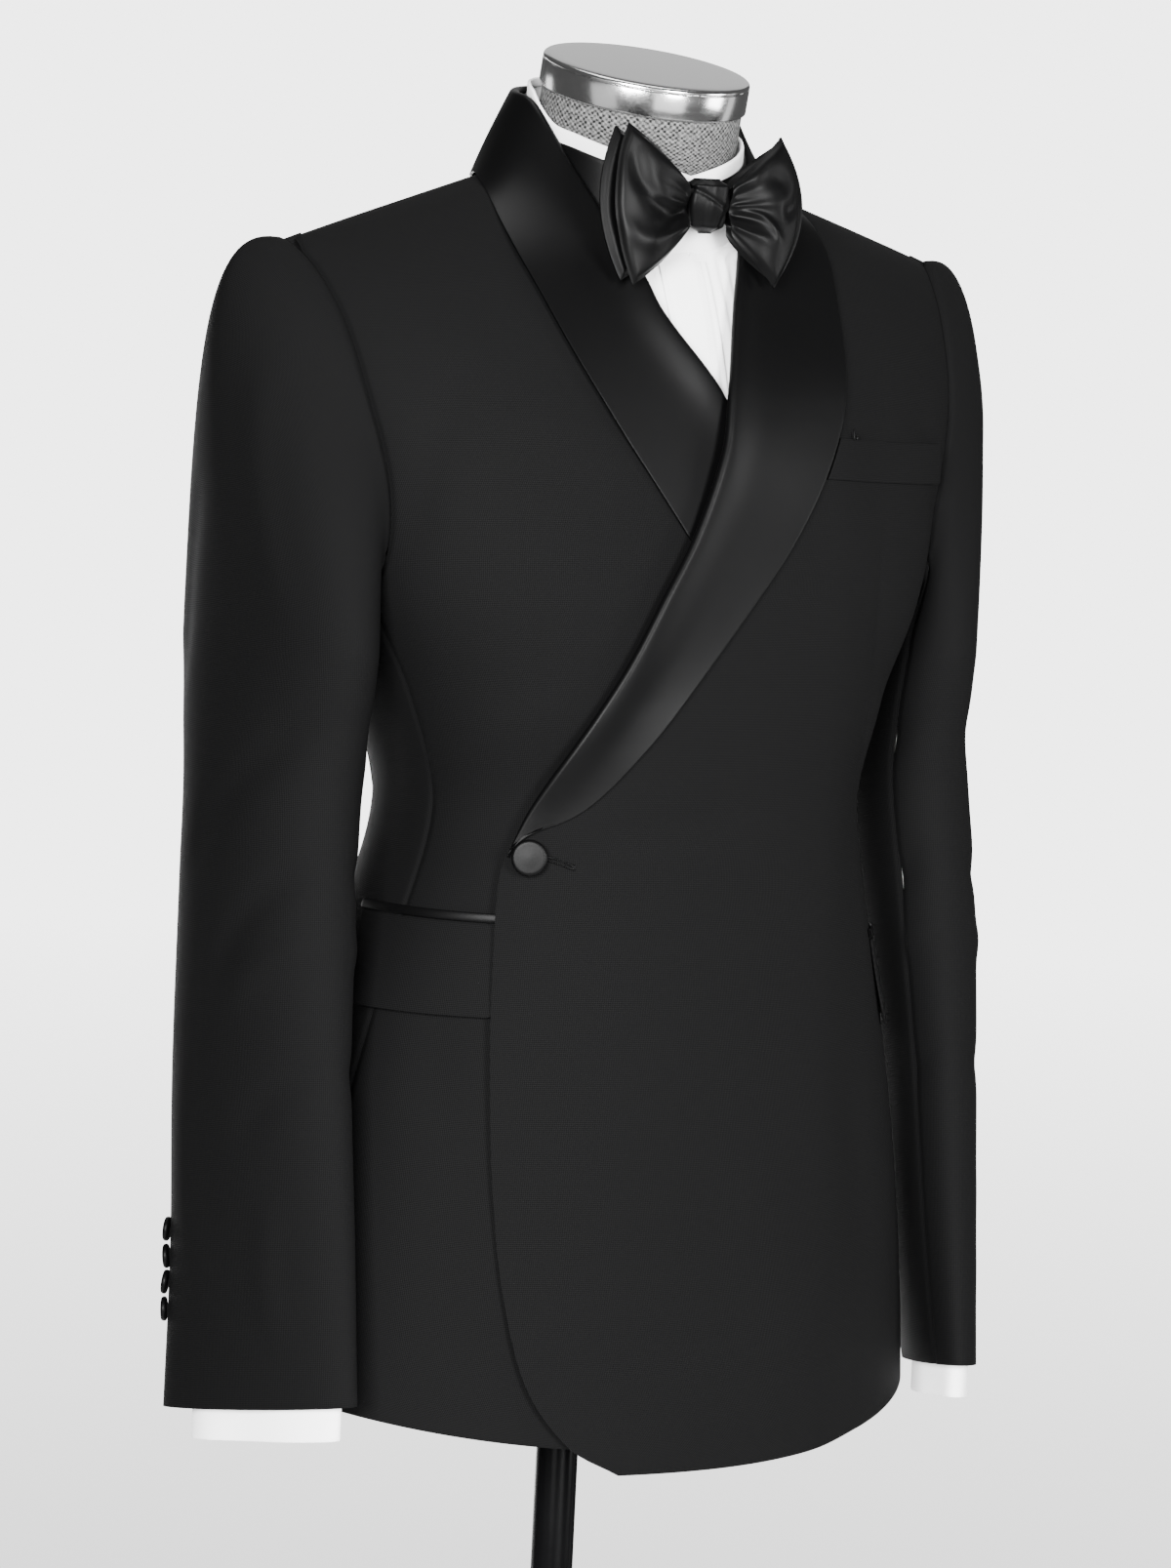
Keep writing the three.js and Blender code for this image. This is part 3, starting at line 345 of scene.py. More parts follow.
@dataclass
class Grid:
    """A cloth grid of points with the lines of its grain, before it becomes a mesh."""

    points: Array
    flat: Array = field(init=False)
    height: Array = field(init=False)

    def __post_init__(self) -> None:
        """Measures the grid along its rows and columns."""
        steps = np.linalg.norm(np.diff(self.points, axis=1), axis=-1)
        self.flat = np.concatenate([np.zeros((len(steps), 1)), np.cumsum(steps, axis=1)], axis=1)
        climbs = np.linalg.norm(np.diff(self.points, axis=0), axis=-1)
        top = np.zeros((1, climbs.shape[1]))
        self.height = np.concatenate([top, np.cumsum(climbs, axis=0)], axis=0)

    def normals(self) -> Array:
        """Unit normals of the grid, right-handed from across to along."""
        across = np.gradient(self.points, axis=1)
        along = np.gradient(self.points, axis=0)
        return unit(np.cross(across, along))

    def lifted(self, lift: Array) -> "Grid":
        """A copy of the grid moved along its normals."""
        return Grid(self.points + self.normals() * lift[..., None])

    def turned_edges(self, depth: float, width: float, edges: str) -> "Grid":
        """Rolls named edges inwards, as at a seam.

        Args:
            depth: how far the edge sinks, in millimetres.
            width: how wide the rolled strip is.
            edges: letters of the edges: l, r, b and t.

        Returns:
            The grid with those edges sunk along its normals.
        """
        off = {
            "l": self.flat,
            "r": self.flat[:, -1:] - self.flat,
            "b": self.height,
            "t": self.height[-1:] - self.height,
        }
        nearest = np.minimum.reduce([off[edge] for edge in edges])
        return self.lifted(-depth * np.exp(-((nearest / width) ** 2)))

    def mirrored(self, side: Side) -> "Grid":
        """The grid on the wearer's right or left."""
        return Grid(self.points * np.array([side.value, 1, 1]))

    def area(self) -> float:
        """Area of the grid in square metres."""
        along = self.points[1:, :-1] - self.points[:-1, :-1]
        across = self.points[:-1, 1:] - self.points[:-1, :-1]
        return float(np.linalg.norm(np.cross(across, along), axis=-1).sum()) * MM * MM


def unit_square(columns: int, rows: int) -> tuple[Array, Array]:
    """Places across and along a grid, from 0 to 1."""
    return np.meshgrid(np.linspace(0, 1, columns + 1), np.linspace(0, 1, rows + 1))


def new_object(name: str, bm: bmesh.types.BMesh) -> bpy.types.Object:
    """Makes a smooth-shaded object from a bmesh and frees the bmesh.

    Args:
        name: the object's name.
        bm: the bmesh, in metres.

    Returns:
        The new object, linked to the scene.
    """
    for face in bm.faces:
        face.smooth = True
    mesh = bpy.data.meshes.new(name)
    bm.to_mesh(mesh)
    bm.free()
    piece = bpy.data.objects.new(name, mesh)
    bpy.context.scene.collection.objects.link(piece)
    return piece


def cloth_mesh(
    name: str,
    grid: Grid,
    inside: Vector,
    thickness: float,
    closed: bool = False,
    grain_turn: float = 0.0,
) -> bpy.types.Object:
    """Makes a thin cloth shell on a grid.

    Args:
        name: the piece's name.
        grid: the outer points, in millimetres.
        inside: a point behind the middle of the cloth, in millimetres.
        thickness: the cloth's thickness in millimetres, taken inwards.
        closed: whether the first and last columns meet.
        grain_turn: angle of the grain to the grid's columns, in degrees.

    Returns:
        The finished object with its wall, rounded edges and grain map.
    """
    rows, columns = grid.points.shape[0] - 1, grid.points.shape[1] - 1
    middle = grid.flat[:, columns // 2][:, None]
    grain = np.stack([grid.flat - middle, grid.height[:, columns // 2][:, None] + 0 * grid.flat], axis=-1)
    turn = grain_turn * DEGREE
    spun = np.array([[math.cos(turn), math.sin(turn)], [-math.sin(turn), math.cos(turn)]])
    grain = grain @ spun * MM
    bm = bmesh.new()
    bmesh.ops.create_grid(bm, x_segments=columns, y_segments=rows, size=0.5)
    bm.verts.ensure_lookup_table()
    place = [(round((v.co.y + 0.5) * rows), round((v.co.x + 0.5) * columns)) for v in bm.verts]
    points = grid.points * MM
    for vert, where in zip(bm.verts, place):
        vert.co = points[where]
    layer = bm.loops.layers.uv.new("grain")
    for face in bm.faces:
        for loop in face.loops:
            loop[layer].uv = grain[place[loop.vert.index]]
    if closed:
        bmesh.ops.remove_doubles(bm, verts=bm.verts, dist=1e-6)
    bm.normal_update()
    outward = sum(
        f.normal.dot(f.calc_center_median() - inside * MM) * f.calc_area() for f in bm.faces
    )
    if outward < 0:
        bmesh.ops.reverse_faces(bm, faces=bm.faces)
    piece = new_object(name, bm)
    wall = piece.modifiers.new("wall", "SOLIDIFY")
    wall.thickness = thickness * MM
    wall.offset = -1
    wall.use_even_offset = False
    rim = piece.modifiers.new("rounded edge", "BEVEL")
    rim.width = thickness * 0.34 * MM
    rim.segments = 2
    rim.limit_method = "ANGLE"
    rim.angle_limit = 60 * DEGREE
    return piece


class Nodes:
    """A short way to place and join shader nodes in one node tree."""

    def __init__(self, tree: bpy.types.NodeTree) -> None:
        """Keeps the tree that nodes are added to."""
        self.tree = tree

    def add(self, kind: str, settings: dict | None = None, **inputs: object) -> bpy.types.Node:
        """Adds a node, sets its properties and fills or links its inputs.

        Args:
            kind: the node's type name.
            settings: properties of the node.
            **inputs: values or sockets by input name, with _ for a space, or _N by number.

        Returns:
            The new node.
        """
        node = self.tree.nodes.new(kind)
        for key, value in (settings or {}).items():
            setattr(node, key, value)
        for key, value in inputs.items():
            name = int(key[1:]) if key[0] == "_" and key[1:].isdigit() else key.replace("_", " ")
            if isinstance(value, bpy.types.NodeSocket):
                self.tree.links.new(value, node.inputs[name])
            else:
                node.inputs[name].default_value = value
        return node

    def math(self, operation: str, *values: object, clamp: bool = False) -> bpy.types.NodeSocket:
        """Adds a Math node and returns its output."""
        inputs = {f"_{index}": value for index, value in enumerate(values)}
        settings = {"operation": operation, "use_clamp": clamp}
        return self.add("ShaderNodeMath", settings, **inputs).outputs[0]

    def grade(self, mask: object, low: float, high: float) -> bpy.types.NodeSocket:
        """Maps a mask from 0..1 to low..high."""
        node = self.add("ShaderNodeMapRange", None, _0=mask, _3=low, _4=high)
        return node.outputs[0]

    def colour(self, mask: object, dark: tuple, light: tuple) -> bpy.types.NodeSocket:
        """Blends two colours by a mask."""
        settings = {"data_type": "RGBA", "blend_type": "MIX"}
        node = self.add("ShaderNodeMix", settings, _0=mask, _6=(*dark, 1), _7=(*light, 1))
        return node.outputs[2]


def effect_group(name: str, inputs: dict[str, float]) -> tuple[bpy.types.NodeTree, Nodes, bpy.types.Node]:
    """Starts a shader node group with a Vector input, named numbers and a mask output.

    Args:
        name: the group's name.
        inputs: its number inputs with their usual values.

    Returns:
        The group, its node helper and its input node.
    """
    group = bpy.data.node_groups.new(name, "ShaderNodeTree")
    group.interface.new_socket("Vector", in_out="INPUT", socket_type="NodeSocketVector")
    for key, value in inputs.items():
        socket = group.interface.new_socket(key, in_out="INPUT", socket_type="NodeSocketFloat")
        socket.default_value = value
    group.interface.new_socket("Mask", in_out="OUTPUT", socket_type="NodeSocketFloat")
    nodes = Nodes(group)
    return group, nodes, nodes.add("NodeGroupInput")


def hopsack_group() -> bpy.types.NodeTree:
    """Tiny raised dots of a hopsack weave, in rows set half a step apart."""
    group, nodes, source = effect_group("hopsack weave", {"Pitch": 0.0014})
    split = nodes.add("ShaderNodeSeparateXYZ", None, _0=source.outputs["Vector"])
    turns = [
        nodes.math("DIVIDE", nodes.math("MULTIPLY", axis, 2 * math.pi), source.outputs["Pitch"])
        for axis in split.outputs[:2]
    ]
    rise = nodes.math("SINE", nodes.math("ADD", turns[0], turns[1]))
    fall = nodes.math("SINE", nodes.math("SUBTRACT", turns[0], turns[1]))
    dots = nodes.math("MULTIPLY", rise, fall)
    mask = nodes.math("MULTIPLY_ADD", dots, 0.5, 0.5)
    nodes.add("NodeGroupOutput", None, Mask=mask)
    return group


def thread_group() -> bpy.types.NodeTree:
    """Crossed threads of a plain weave, uneven where Slub is high."""
    group, nodes, source = effect_group("plain weave", {"Pitch": 0.0005, "Slub": 0.1})
    wobble = nodes.add(
        "ShaderNodeTexNoise", None, Vector=source.outputs["Vector"], Scale=900.0, Detail=2.0
    )
    shift = nodes.math("MULTIPLY", nodes.math("SUBTRACT", wobble.outputs[0], 0.5), source.outputs["Slub"])
    split = nodes.add("ShaderNodeSeparateXYZ", None, _0=source.outputs["Vector"])
    waves = []
    for axis in split.outputs[:2]:
        turns = nodes.math("DIVIDE", axis, source.outputs["Pitch"])
        bent = nodes.math("ADD", turns, nodes.math("MULTIPLY", shift, 6.0))
        waves.append(nodes.math("SINE", nodes.math("MULTIPLY", bent, 2 * math.pi)))
    crossed = nodes.math("MULTIPLY", waves[0], waves[1])
    mask = nodes.math("MULTIPLY_ADD", crossed, 0.5, 0.5)
    nodes.add("NodeGroupOutput", None, Mask=mask)
    return group


def cloudy_group() -> bpy.types.NodeTree:
    """Slow uneven patches, as in pressed cloth or handled metal."""
    group, nodes, source = effect_group("cloudy patches", {"Scale": 6.0, "Contrast": 1.0})
    noise = nodes.add(
        "ShaderNodeTexNoise", None, Vector=source.outputs["Vector"], Scale=source.outputs["Scale"], Detail=3.0
    )
    middle = nodes.math("SUBTRACT", noise.outputs[0], 0.5)
    spread = nodes.math("MULTIPLY", middle, source.outputs["Contrast"])
    mask = nodes.math("ADD", spread, 0.5, clamp=True)
    nodes.add("NodeGroupOutput", None, Mask=mask)
    return group


EFFECTS = {"hopsack": hopsack_group(), "thread": thread_group(), "cloudy": cloudy_group()}


@dataclass(frozen=True)
class Finish:
    """A surface finish: its material slot, its name and its plain shader values."""

    slot: str
    name: str
    roughness: float = 0.8
    sheen: float = 0.0
    sheen_roughness: float = 0.4
    specular: float = 0.5
    metallic: float = 0.0

    def start(self) -> tuple[bpy.types.Material, Nodes, bpy.types.Node]:
        """Makes the material with its shader set.

        Returns:
            The material, its node helper and its Principled BSDF node.
        """
        material = bpy.data.materials.new(self.name)
        material.use_nodes = True
        nodes = Nodes(material.node_tree)
        shader = material.node_tree.nodes["Principled BSDF"]
        shader.inputs["Roughness"].default_value = self.roughness
        shader.inputs["Metallic"].default_value = self.metallic
        shader.inputs["Specular IOR Level"].default_value = self.specular
        shader.inputs["Sheen Weight"].default_value = self.sheen
        shader.inputs["Sheen Roughness"].default_value = self.sheen_roughness
        return material, nodes, shader

    @staticmethod
    def grain(nodes: Nodes) -> bpy.types.NodeSocket:
        """The cloth's own grain map, in metres."""
        return nodes.add("ShaderNodeUVMap", {"uv_map": "grain"}).outputs[0]

    @staticmethod
    def place(nodes: Nodes) -> bpy.types.NodeSocket:
        """Object coordinates, in metres."""
        return nodes.add("ShaderNodeTexCoord").outputs["Object"]

    @staticmethod
    def effect(nodes: Nodes, name: str, where: bpy.types.NodeSocket, **values: float) -> bpy.types.NodeSocket:
        """Places a shared effect group and returns its mask."""
        return nodes.add(
            "ShaderNodeGroup", {"node_tree": EFFECTS[name]}, Vector=where, **values
        ).outputs["Mask"]

    @staticmethod
    def bump(nodes: Nodes, shader: bpy.types.Node, height: object, depth: float, strength: float) -> None:
        """Raises the surface's normal by a height mask."""
        bump = nodes.add("ShaderNodeBump", None, Height=height, Strength=strength, Distance=depth)
        nodes.tree.links.new(bump.outputs[0], shader.inputs["Normal"])


@dataclass(frozen=True)
class WoolFinish(Finish):
    """Fine black wool in a hopsack weave."""

    dark: tuple = (0.0005, 0.0005, 0.00054)
    light: tuple = (0.0034, 0.0034, 0.0035)
    pitch: float = 0.0021

    def make(self) -> bpy.types.Material:
        """Builds the material."""
        material, nodes, shader = self.start()
        grain = self.grain(nodes)
        weave = self.effect(nodes, "hopsack", grain, Pitch=self.pitch)
        cloud = self.effect(nodes, "cloudy", self.place(nodes), Scale=9.0, Contrast=0.7)
        fibre = nodes.add("ShaderNodeTexNoise", None, Vector=grain, Scale=1400.0, Detail=2.0).outputs[0]
        shade = nodes.math("MULTIPLY", weave, nodes.grade(fibre, 0.75, 1.25))
        shade = nodes.math("MULTIPLY", shade, nodes.grade(cloud, 0.9, 1.1), clamp=True)
        colour = nodes.colour(shade, self.dark, self.light)
        nodes.tree.links.new(colour, shader.inputs["Base Color"])
        rough = nodes.grade(weave, self.roughness + 0.06, self.roughness - 0.04)
        nodes.tree.links.new(rough, shader.inputs["Roughness"])
        height = nodes.math("MULTIPLY_ADD", fibre, 0.25, weave)
        self.bump(nodes, shader, height, 0.00018, 0.55)
        return material


@dataclass(frozen=True)
class SatinFinish(Finish):
    """Black satin: very fine lines along the grain over a soft gloss."""

    colour: tuple = (0.0011, 0.0011, 0.00115)

    def make(self) -> bpy.types.Material:
        """Builds the material."""
        material, nodes, shader = self.start()
        grain = self.grain(nodes)
        stretched = nodes.add("ShaderNodeMapping", None, Vector=grain, Scale=(1.0, 0.22, 1.0)).outputs[0]
        threads = nodes.add("ShaderNodeTexNoise", None, Vector=stretched, Scale=2600.0, Detail=2.0).outputs[0]
        cloud = self.effect(nodes, "cloudy", self.place(nodes), Scale=22.0, Contrast=0.8)
        dark = tuple(0.72 * value for value in self.colour)
        light = tuple(1.32 * value for value in self.colour)
        nodes.tree.links.new(nodes.colour(threads, dark, light), shader.inputs["Base Color"])
        spread = nodes.math("MULTIPLY_ADD", threads, 0.5, nodes.math("MULTIPLY", cloud, 0.5))
        rough = nodes.grade(spread, self.roughness - 0.05, self.roughness + 0.07)
        nodes.tree.links.new(rough, shader.inputs["Roughness"])
        slow = nodes.add("ShaderNodeTexNoise", None, Vector=grain, Scale=55.0, Detail=1.0).outputs[0]
        height = nodes.math("MULTIPLY_ADD", slow, 2.0, threads)
        self.bump(nodes, shader, height, 0.00012, 0.35)
        return material


@dataclass(frozen=True)
class CottonFinish(Finish):
    """White shirt cotton in a very fine plain weave."""

    dark: tuple = (0.79, 0.79, 0.795)
    light: tuple = (0.88, 0.88, 0.88)

    def make(self) -> bpy.types.Material:
        """Builds the material."""
        material, nodes, shader = self.start()
        grain = self.grain(nodes)
        weave = self.effect(nodes, "thread", grain, Pitch=0.0006, Slub=0.05)
        cloud = self.effect(nodes, "cloudy", self.place(nodes), Scale=40.0, Contrast=0.6)
        shade = nodes.math("MULTIPLY_ADD", weave, 0.4, nodes.math("MULTIPLY", cloud, 0.6))
        nodes.tree.links.new(nodes.colour(shade, self.dark, self.light), shader.inputs["Base Color"])
        height = nodes.math("MULTIPLY_ADD", cloud, 3.0, weave)
        self.bump(nodes, shader, height, 0.00012, 0.4)
        return material


@dataclass(frozen=True)
class LinenFinish(Finish):
    """Coarse grey linen with pale and dark threads."""

    dark: tuple = (0.001, 0.001, 0.001)
    light: tuple = (0.13, 0.13, 0.129)

    def make(self) -> bpy.types.Material:
        """Builds the material."""
        material, nodes, shader = self.start()
        grain = self.grain(nodes)
        weave = self.effect(nodes, "thread", grain, Pitch=0.0036, Slub=0.05)
        dots = nodes.add("ShaderNodeMapRange", None, _0=weave, _1=0.32, _2=0.68).outputs[0]
        fleck = nodes.add("ShaderNodeTexNoise", None, Vector=grain, Scale=380.0, Detail=1.0).outputs[0]
        sharp = nodes.add("ShaderNodeMapRange", None, _0=fleck, _1=0.42, _2=0.6).outputs[0]
        shade = nodes.math("MULTIPLY_ADD", sharp, 0.45, nodes.math("MULTIPLY", dots, 0.6), clamp=True)
        nodes.tree.links.new(nodes.colour(shade, self.dark, self.light), shader.inputs["Base Color"])
        self.bump(nodes, shader, shade, 0.0006, 0.7)
        return material


@dataclass(frozen=True)
class SteelFinish(Finish):
    """Brushed steel with fine lines round the rim and straight lines across the top."""

    colour: tuple = (0.62, 0.62, 0.62)

    def make(self) -> bpy.types.Material:
        """Builds the material."""
        material, nodes, shader = self.start()
        place = self.place(nodes)
        brushed = nodes.add("ShaderNodeMapping", None, Vector=place, Scale=(8.0, 900.0, 900.0)).outputs[0]
        lines = nodes.add("ShaderNodeTexNoise", None, Vector=brushed, Scale=1.0, Detail=3.0).outputs[0]
        dark = tuple(0.86 * value for value in self.colour)
        nodes.tree.links.new(nodes.colour(lines, dark, self.colour), shader.inputs["Base Color"])
        rough = nodes.grade(lines, self.roughness - 0.04, self.roughness + 0.08)
        nodes.tree.links.new(rough, shader.inputs["Roughness"])
        self.bump(nodes, shader, lines, 0.00006, 0.12)
        return material


@dataclass(frozen=True)
class LacquerFinish(Finish):
    """Gloss black lacquer with faint smears."""

    colour: tuple = (0.0015, 0.0015, 0.0016)

    def make(self) -> bpy.types.Material:
        """Builds the material."""
        material, nodes, shader = self.start()
        cloud = self.effect(nodes, "cloudy", self.place(nodes), Scale=30.0, Contrast=1.4)
        light = tuple(1.6 * value for value in self.colour)
        nodes.tree.links.new(nodes.colour(cloud, self.colour, light), shader.inputs["Base Color"])
        rough = nodes.grade(cloud, self.roughness, self.roughness + 0.12)
        nodes.tree.links.new(rough, shader.inputs["Roughness"])
        self.bump(nodes, shader, cloud, 0.0002, 0.1)
        return material


WOOL = WoolFinish("jacket_cloth", "black hopsack wool", 0.74, 0.002, 0.5, 0.04).make()
SATIN = SatinFinish("satin", "black satin", 0.4, 0.002, 0.4, 0.06).make()
COTTON = CottonFinish("shirt_cloth", "white cotton", 0.75, 0.03, 0.5, 0.3).make()
LINEN = LinenFinish("form_linen", "grey linen", 0.85, 0.02, 0.5, 0.2).make()
STEEL = SteelFinish("cap_steel", "brushed steel", 0.15, 0.0, 0.4, 0.5, 1.0).make()
LACQUER = LacquerFinish("stand_black", "gloss black lacquer", 0.16, 0.0, 0.4, 0.03).make()
CLOTH_WORDS = {WOOL: "cloth", SATIN: "satin", COTTON: "cotton"}


def place_piece(piece: bpy.types.Object, material: bpy.types.Material, *nodes: str) -> bpy.types.Object:
    """Dresses a piece and puts it in the frame.

    Args:
        piece: the new object.
        material: its material.
        *nodes: the CAD nodes that it stands for.

    Returns:
        The piece.
    """
    piece.data.materials.append(material)
    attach(piece, "root")
    if nodes:
        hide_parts(*nodes)
    log.info("%s stands for %s", piece.name, ", ".join(nodes) or "sewing")
    return piece


def declare_cloth(piece: bpy.types.Object, grid: Grid, hold: Hold, *rests_on: str) -> None:
    """Logs the flat size and area of a sheet of cloth, from the grid it was cut to.

    Args:
        piece: the cloth piece.
        grid: the grid it was made on.
        hold: not used.
        *rests_on: not used.
    """
    width = float(grid.flat[:, -1].max()) * MM
    length = float(grid.height[-1].max()) * MM
    area = min(grid.area(), width * length)
    area = max(area, 0.3 * width * length)
    log.info("%s: flat %.0f x %.0f mm, area %.4f m2", piece.name, width / MM, length / MM, area)


def sew_sheet(
    node: str,
    grid: Grid,
    inside: tuple[float, float, float],
    thickness: float,
    material: bpy.types.Material,
    hold: Hold,
    rests_on: str,
    **made: float,
) -> None:
    """Args:
        node: the CAD node that it stands for.
        grid: the outer points, in millimetres.
        inside: a point behind the middle of the cloth, in millimetres.
        thickness: the cloth's thickness in millimetres.
        material: its material, which also ends its name.
        hold: how it is held.
        rests_on: the piece that it rests on.
        **made: closed or grain_turn, as cloth_mesh takes them.
    """
    piece = cloth_mesh(f"{node}_{CLOTH_WORDS[material]}", grid, Vector(inside), thickness, **made)
    place_piece(piece, material, node)
    declare_cloth(piece, grid, hold, rests_on)


@dataclass
class JacketBody:
    """The six panels of the jacket's body, front edges, hem, seams and armholes."""

    cloth: float = 2.0
    seam_gap: float = 0.03
    hem: float = 812
    back_drop: float = 6
    nape: float = 1499
    nape_share: float = 0.86
    wrap: float = 4.5
    wrap_full_x: float = 76
    wrap_end_x: float = 124
    crossing: tuple = (6, 1354, 46, 4)
    roll_rise: float = 3
    columns: int = 132
    rows: int = 104

    LEFT_ROWS = Table(
        ("row", "edge_x", "edge_z", "side_z", "sag"),
        (0, -52, 777, 812, 11),
        (1, -82, 794, 826, 9),
        (2, -106, 828, 852, 6),
        (3, -119, 880, 896, 3),
        (4, -125, 940, 948, 1),
        (5, -126, 1000, 1003, 0),
        (6, -124, 1060, 1060, 0),
        (7, -118, 1118, 1120, 0),
        (8, -103.5, 1153, 1152, 0),
        (9, -86.5, 1190, 1191, 0),
        (10, -61, 1235, 1232, 0),
        (11, -42, 1272, 1266, 0),
        (12, -22, 1308, 1300, 0),
        (13, -4, 1352, 1340, 0),
        (14, 5, 1388, 1372, 0),
        (15, 15, 1420, 1404, 0),
        (16, 25, 1447, 1430, 0),
        (17, 40, 1472, 1449, 0),
        (18, 58, 1494, 1459, 0),
        (19, 78, 1520, 1462, 0),
    )
    RIGHT_ROWS = Table(
        ("row", "edge_x", "edge_z", "side_z", "sag"),
        (0, -20, 787, 812, 5),
        (1, -40, 800, 826, 4),
        (2, -55, 828, 852, 3),
        (3, -62, 880, 896, 2),
        (4, -64, 940, 948, 1),
        (5, -65, 1000, 1003, 0),
        (6, -65, 1060, 1060, 0),
        (7, -65, 1120, 1120, 0),
        (8, -65, 1152, 1152, 0),
        (9, -64, 1191, 1191, 0),
        (10, -60, 1235, 1232, 0),
        (11, -53, 1272, 1266, 0),
        (12, -42, 1308, 1300, 0),
        (13, -22, 1350, 1340, 0),
        (14, -2, 1382, 1372, 0),
        (15, 25, 1418, 1404, 0),
        (16, 41, 1447, 1430, 0),
        (17, 50, 1471, 1449, 0),
        (18, 60, 1494, 1459, 0),
        (19, 78, 1520, 1462, 0),
    )
    LAST_ROW = 19
    LEFT_CREASES = (
        Crease((-96, 1118), (40, 1150), 13, -1.2),
        Crease((-90, 1098), (70, 1092), 17, -1.3),
        Crease((60, 1300), (150, 1210), 16, -1.4),
        Crease((120, 1240), (128, 1080), 12, 1.2),
        Crease((20, 960), (60, 800), 22, 1.5),
        Crease((100, 1010), (135, 830), 18, -1.6),
        Crease((150, 1390), (185, 1290), 11, -1.6),
        Crease((114, 1312), (119, 1150), 1.7, -0.9, 0.0),
    )
    RIGHT_CREASES = (
        Crease((60, 1190), (140, 1120), 14, -1.6),
        Crease((95, 1215), (150, 1160), 10, 1.0),
        Crease((150, 1400), (176, 1290), 10, -1.8),
        Crease((50, 1330), (130, 1380), 20, 1.3),
        Crease((100, 1010), (120, 830), 16, 1.4),
        Crease((130, 1100), (150, 960), 14, -1.4),
        Crease((123, 1312), (98, 1140), 1.7, -0.9, 0.0),
    )
    BACK_CREASES = (
        Crease((20, 1150), (120, 1185), 13, -1.8),
        Crease((30, 1110), (110, 1122), 15, -1.5),
        Crease((60, 1400), (170, 1330), 18, -1.6),
        Crease((100, 1300), (165, 1230), 14, 1.5),
        Crease((50, 1020), (70, 830), 22, 1.8),
        Crease((120, 1000), (135, 850), 18, -1.5),
    )

    def wrap_lift(self, x: Array, z: Array) -> Array:
        """How far the left front stands off the body where it wraps over the right one."""
        middle_x, middle_z, reach, rise = self.crossing
        wrap = self.wrap * (1 - ease(self.wrap_full_x, self.wrap_end_x, x))
        away = ((x - middle_x) ** 2 + (z - middle_z) ** 2) / reach**2
        high = 1 - ease(1380, 1440, z)
        return wrap * mix(0.25, 1, high) + rise * np.exp(-away)

    def flat_lift(self, x: Array, z: Array) -> Array:
        """No lift, for the right front, which lies on the body."""
        return 0 * x

    def roll(self, distance: Array) -> Array:
        """Rise of the cloth where a front rolls over into its lapel."""
        return self.roll_rise * np.exp(-((distance / 13) ** 2))

    def front_grid(self, rows: Table, roll_from: float, lift_at: Callable) -> Grid:
        """Outer points of a front on the wearer's left.

        Args:
            rows: the table of its rows from hem to shoulder.
            roll_from: the row where the roll starts.
            lift_at: the front's lift at a place x, z.

        Returns:
            The grid before seams and creases.
        """
        across, along = unit_square(self.columns, self.rows)
        across = near_edges(across)
        row = along * self.LAST_ROW
        level = rows.at("side_z", row)
        side_v = Torso.rise(level)
        inset = self.seam_gap / 190
        side_phi = np.minimum(SIDE_SEAM, 90 * DEGREE - ARMHOLE.reach_at(level)) - inset
        rolled = ease(roll_from - 1, roll_from + 1, row)
        edge_x = rows.at("edge_x", row)
        edge_v = Torso.v_of(edge_x, rows.at("edge_z", row))
        v = mix(edge_v, side_v, across) - rows.at("sag", row) * np.sin(math.pi * across)
        edge_spread = Torso.spread(Torso.phi_of(edge_x, edge_v), edge_v)
        spread = mix(edge_spread, Torso.spread(side_phi, side_v), across)
        phi = Torso.phi_at_spread(spread, v)
        place = Torso.point(phi, v)
        lift = lift_at(place[..., 0], place[..., 2]) + rolled * self.roll(place[..., 0] - edge_x)
        return Grid(Torso.skin(phi, v, lift))

    def creased(self, grid: Grid, creases: tuple[Crease, ...]) -> Grid:
        """The grid with its creases, found by its front or back view."""
        outward = np.sign(np.nansum(grid.normals()[..., 1] * grid.points[..., 1])) or 1.0
        across, up = grid.points[..., 0], grid.points[..., 2]
        lift = sum(crease.lift(across, up) for crease in creases)
        return grid.lifted(lift * outward)

    def front(self, side: Side) -> None:
        """Builds one front."""
        left = side is Side.LEFT
        rows = self.LEFT_ROWS if left else self.RIGHT_ROWS
        grid = self.front_grid(rows, 8.5 if left else 14, self.wrap_lift if left else self.flat_lift)
        grid = self.creased(grid, self.LEFT_CREASES if left else self.RIGHT_CREASES)
        grid = self.outward(grid).turned_edges(0.9, 2.2, "r").mirrored(side)
        self.finish(f"{side.word}_front", grid)

    def outward(self, grid: Grid) -> Grid:
        """Turns a grid's normals away from the body's middle line."""
        away = grid.points - np.array([0.0, -10.0, 0.0])
        away[..., 2] = 0
        if np.sum(grid.normals() * away) < 0:
            return Grid(grid.points[:, ::-1])
        return grid

    def finish(self, node: str, grid: Grid) -> None:
        """Makes a panel's mesh and puts it in place of its node."""
        sew_sheet(node, grid, (0, -10, 1200), self.cloth, WOOL, Hold.HUNG, "dress_form_linen")

    def side_panel(self, side: Side) -> None:
        """Builds one side panel, from the hem to the underside of the armhole."""
        across, along = unit_square(40, 84)
        inset = self.seam_gap / 190
        phi = mix(SIDE_SEAM + inset, math.pi - BACK_SEAM - inset, near_edges(across))
        v = Torso.rise(mix(self.hem, ARMHOLE.floor(phi), along))
        grid = self.outward(Grid(Torso.skin(phi, v, 0 * v)))
        grid = grid.turned_edges(0.9, 2.2, "lrt").mirrored(side)
        self.finish(f"{side.word}_side_panel", grid)

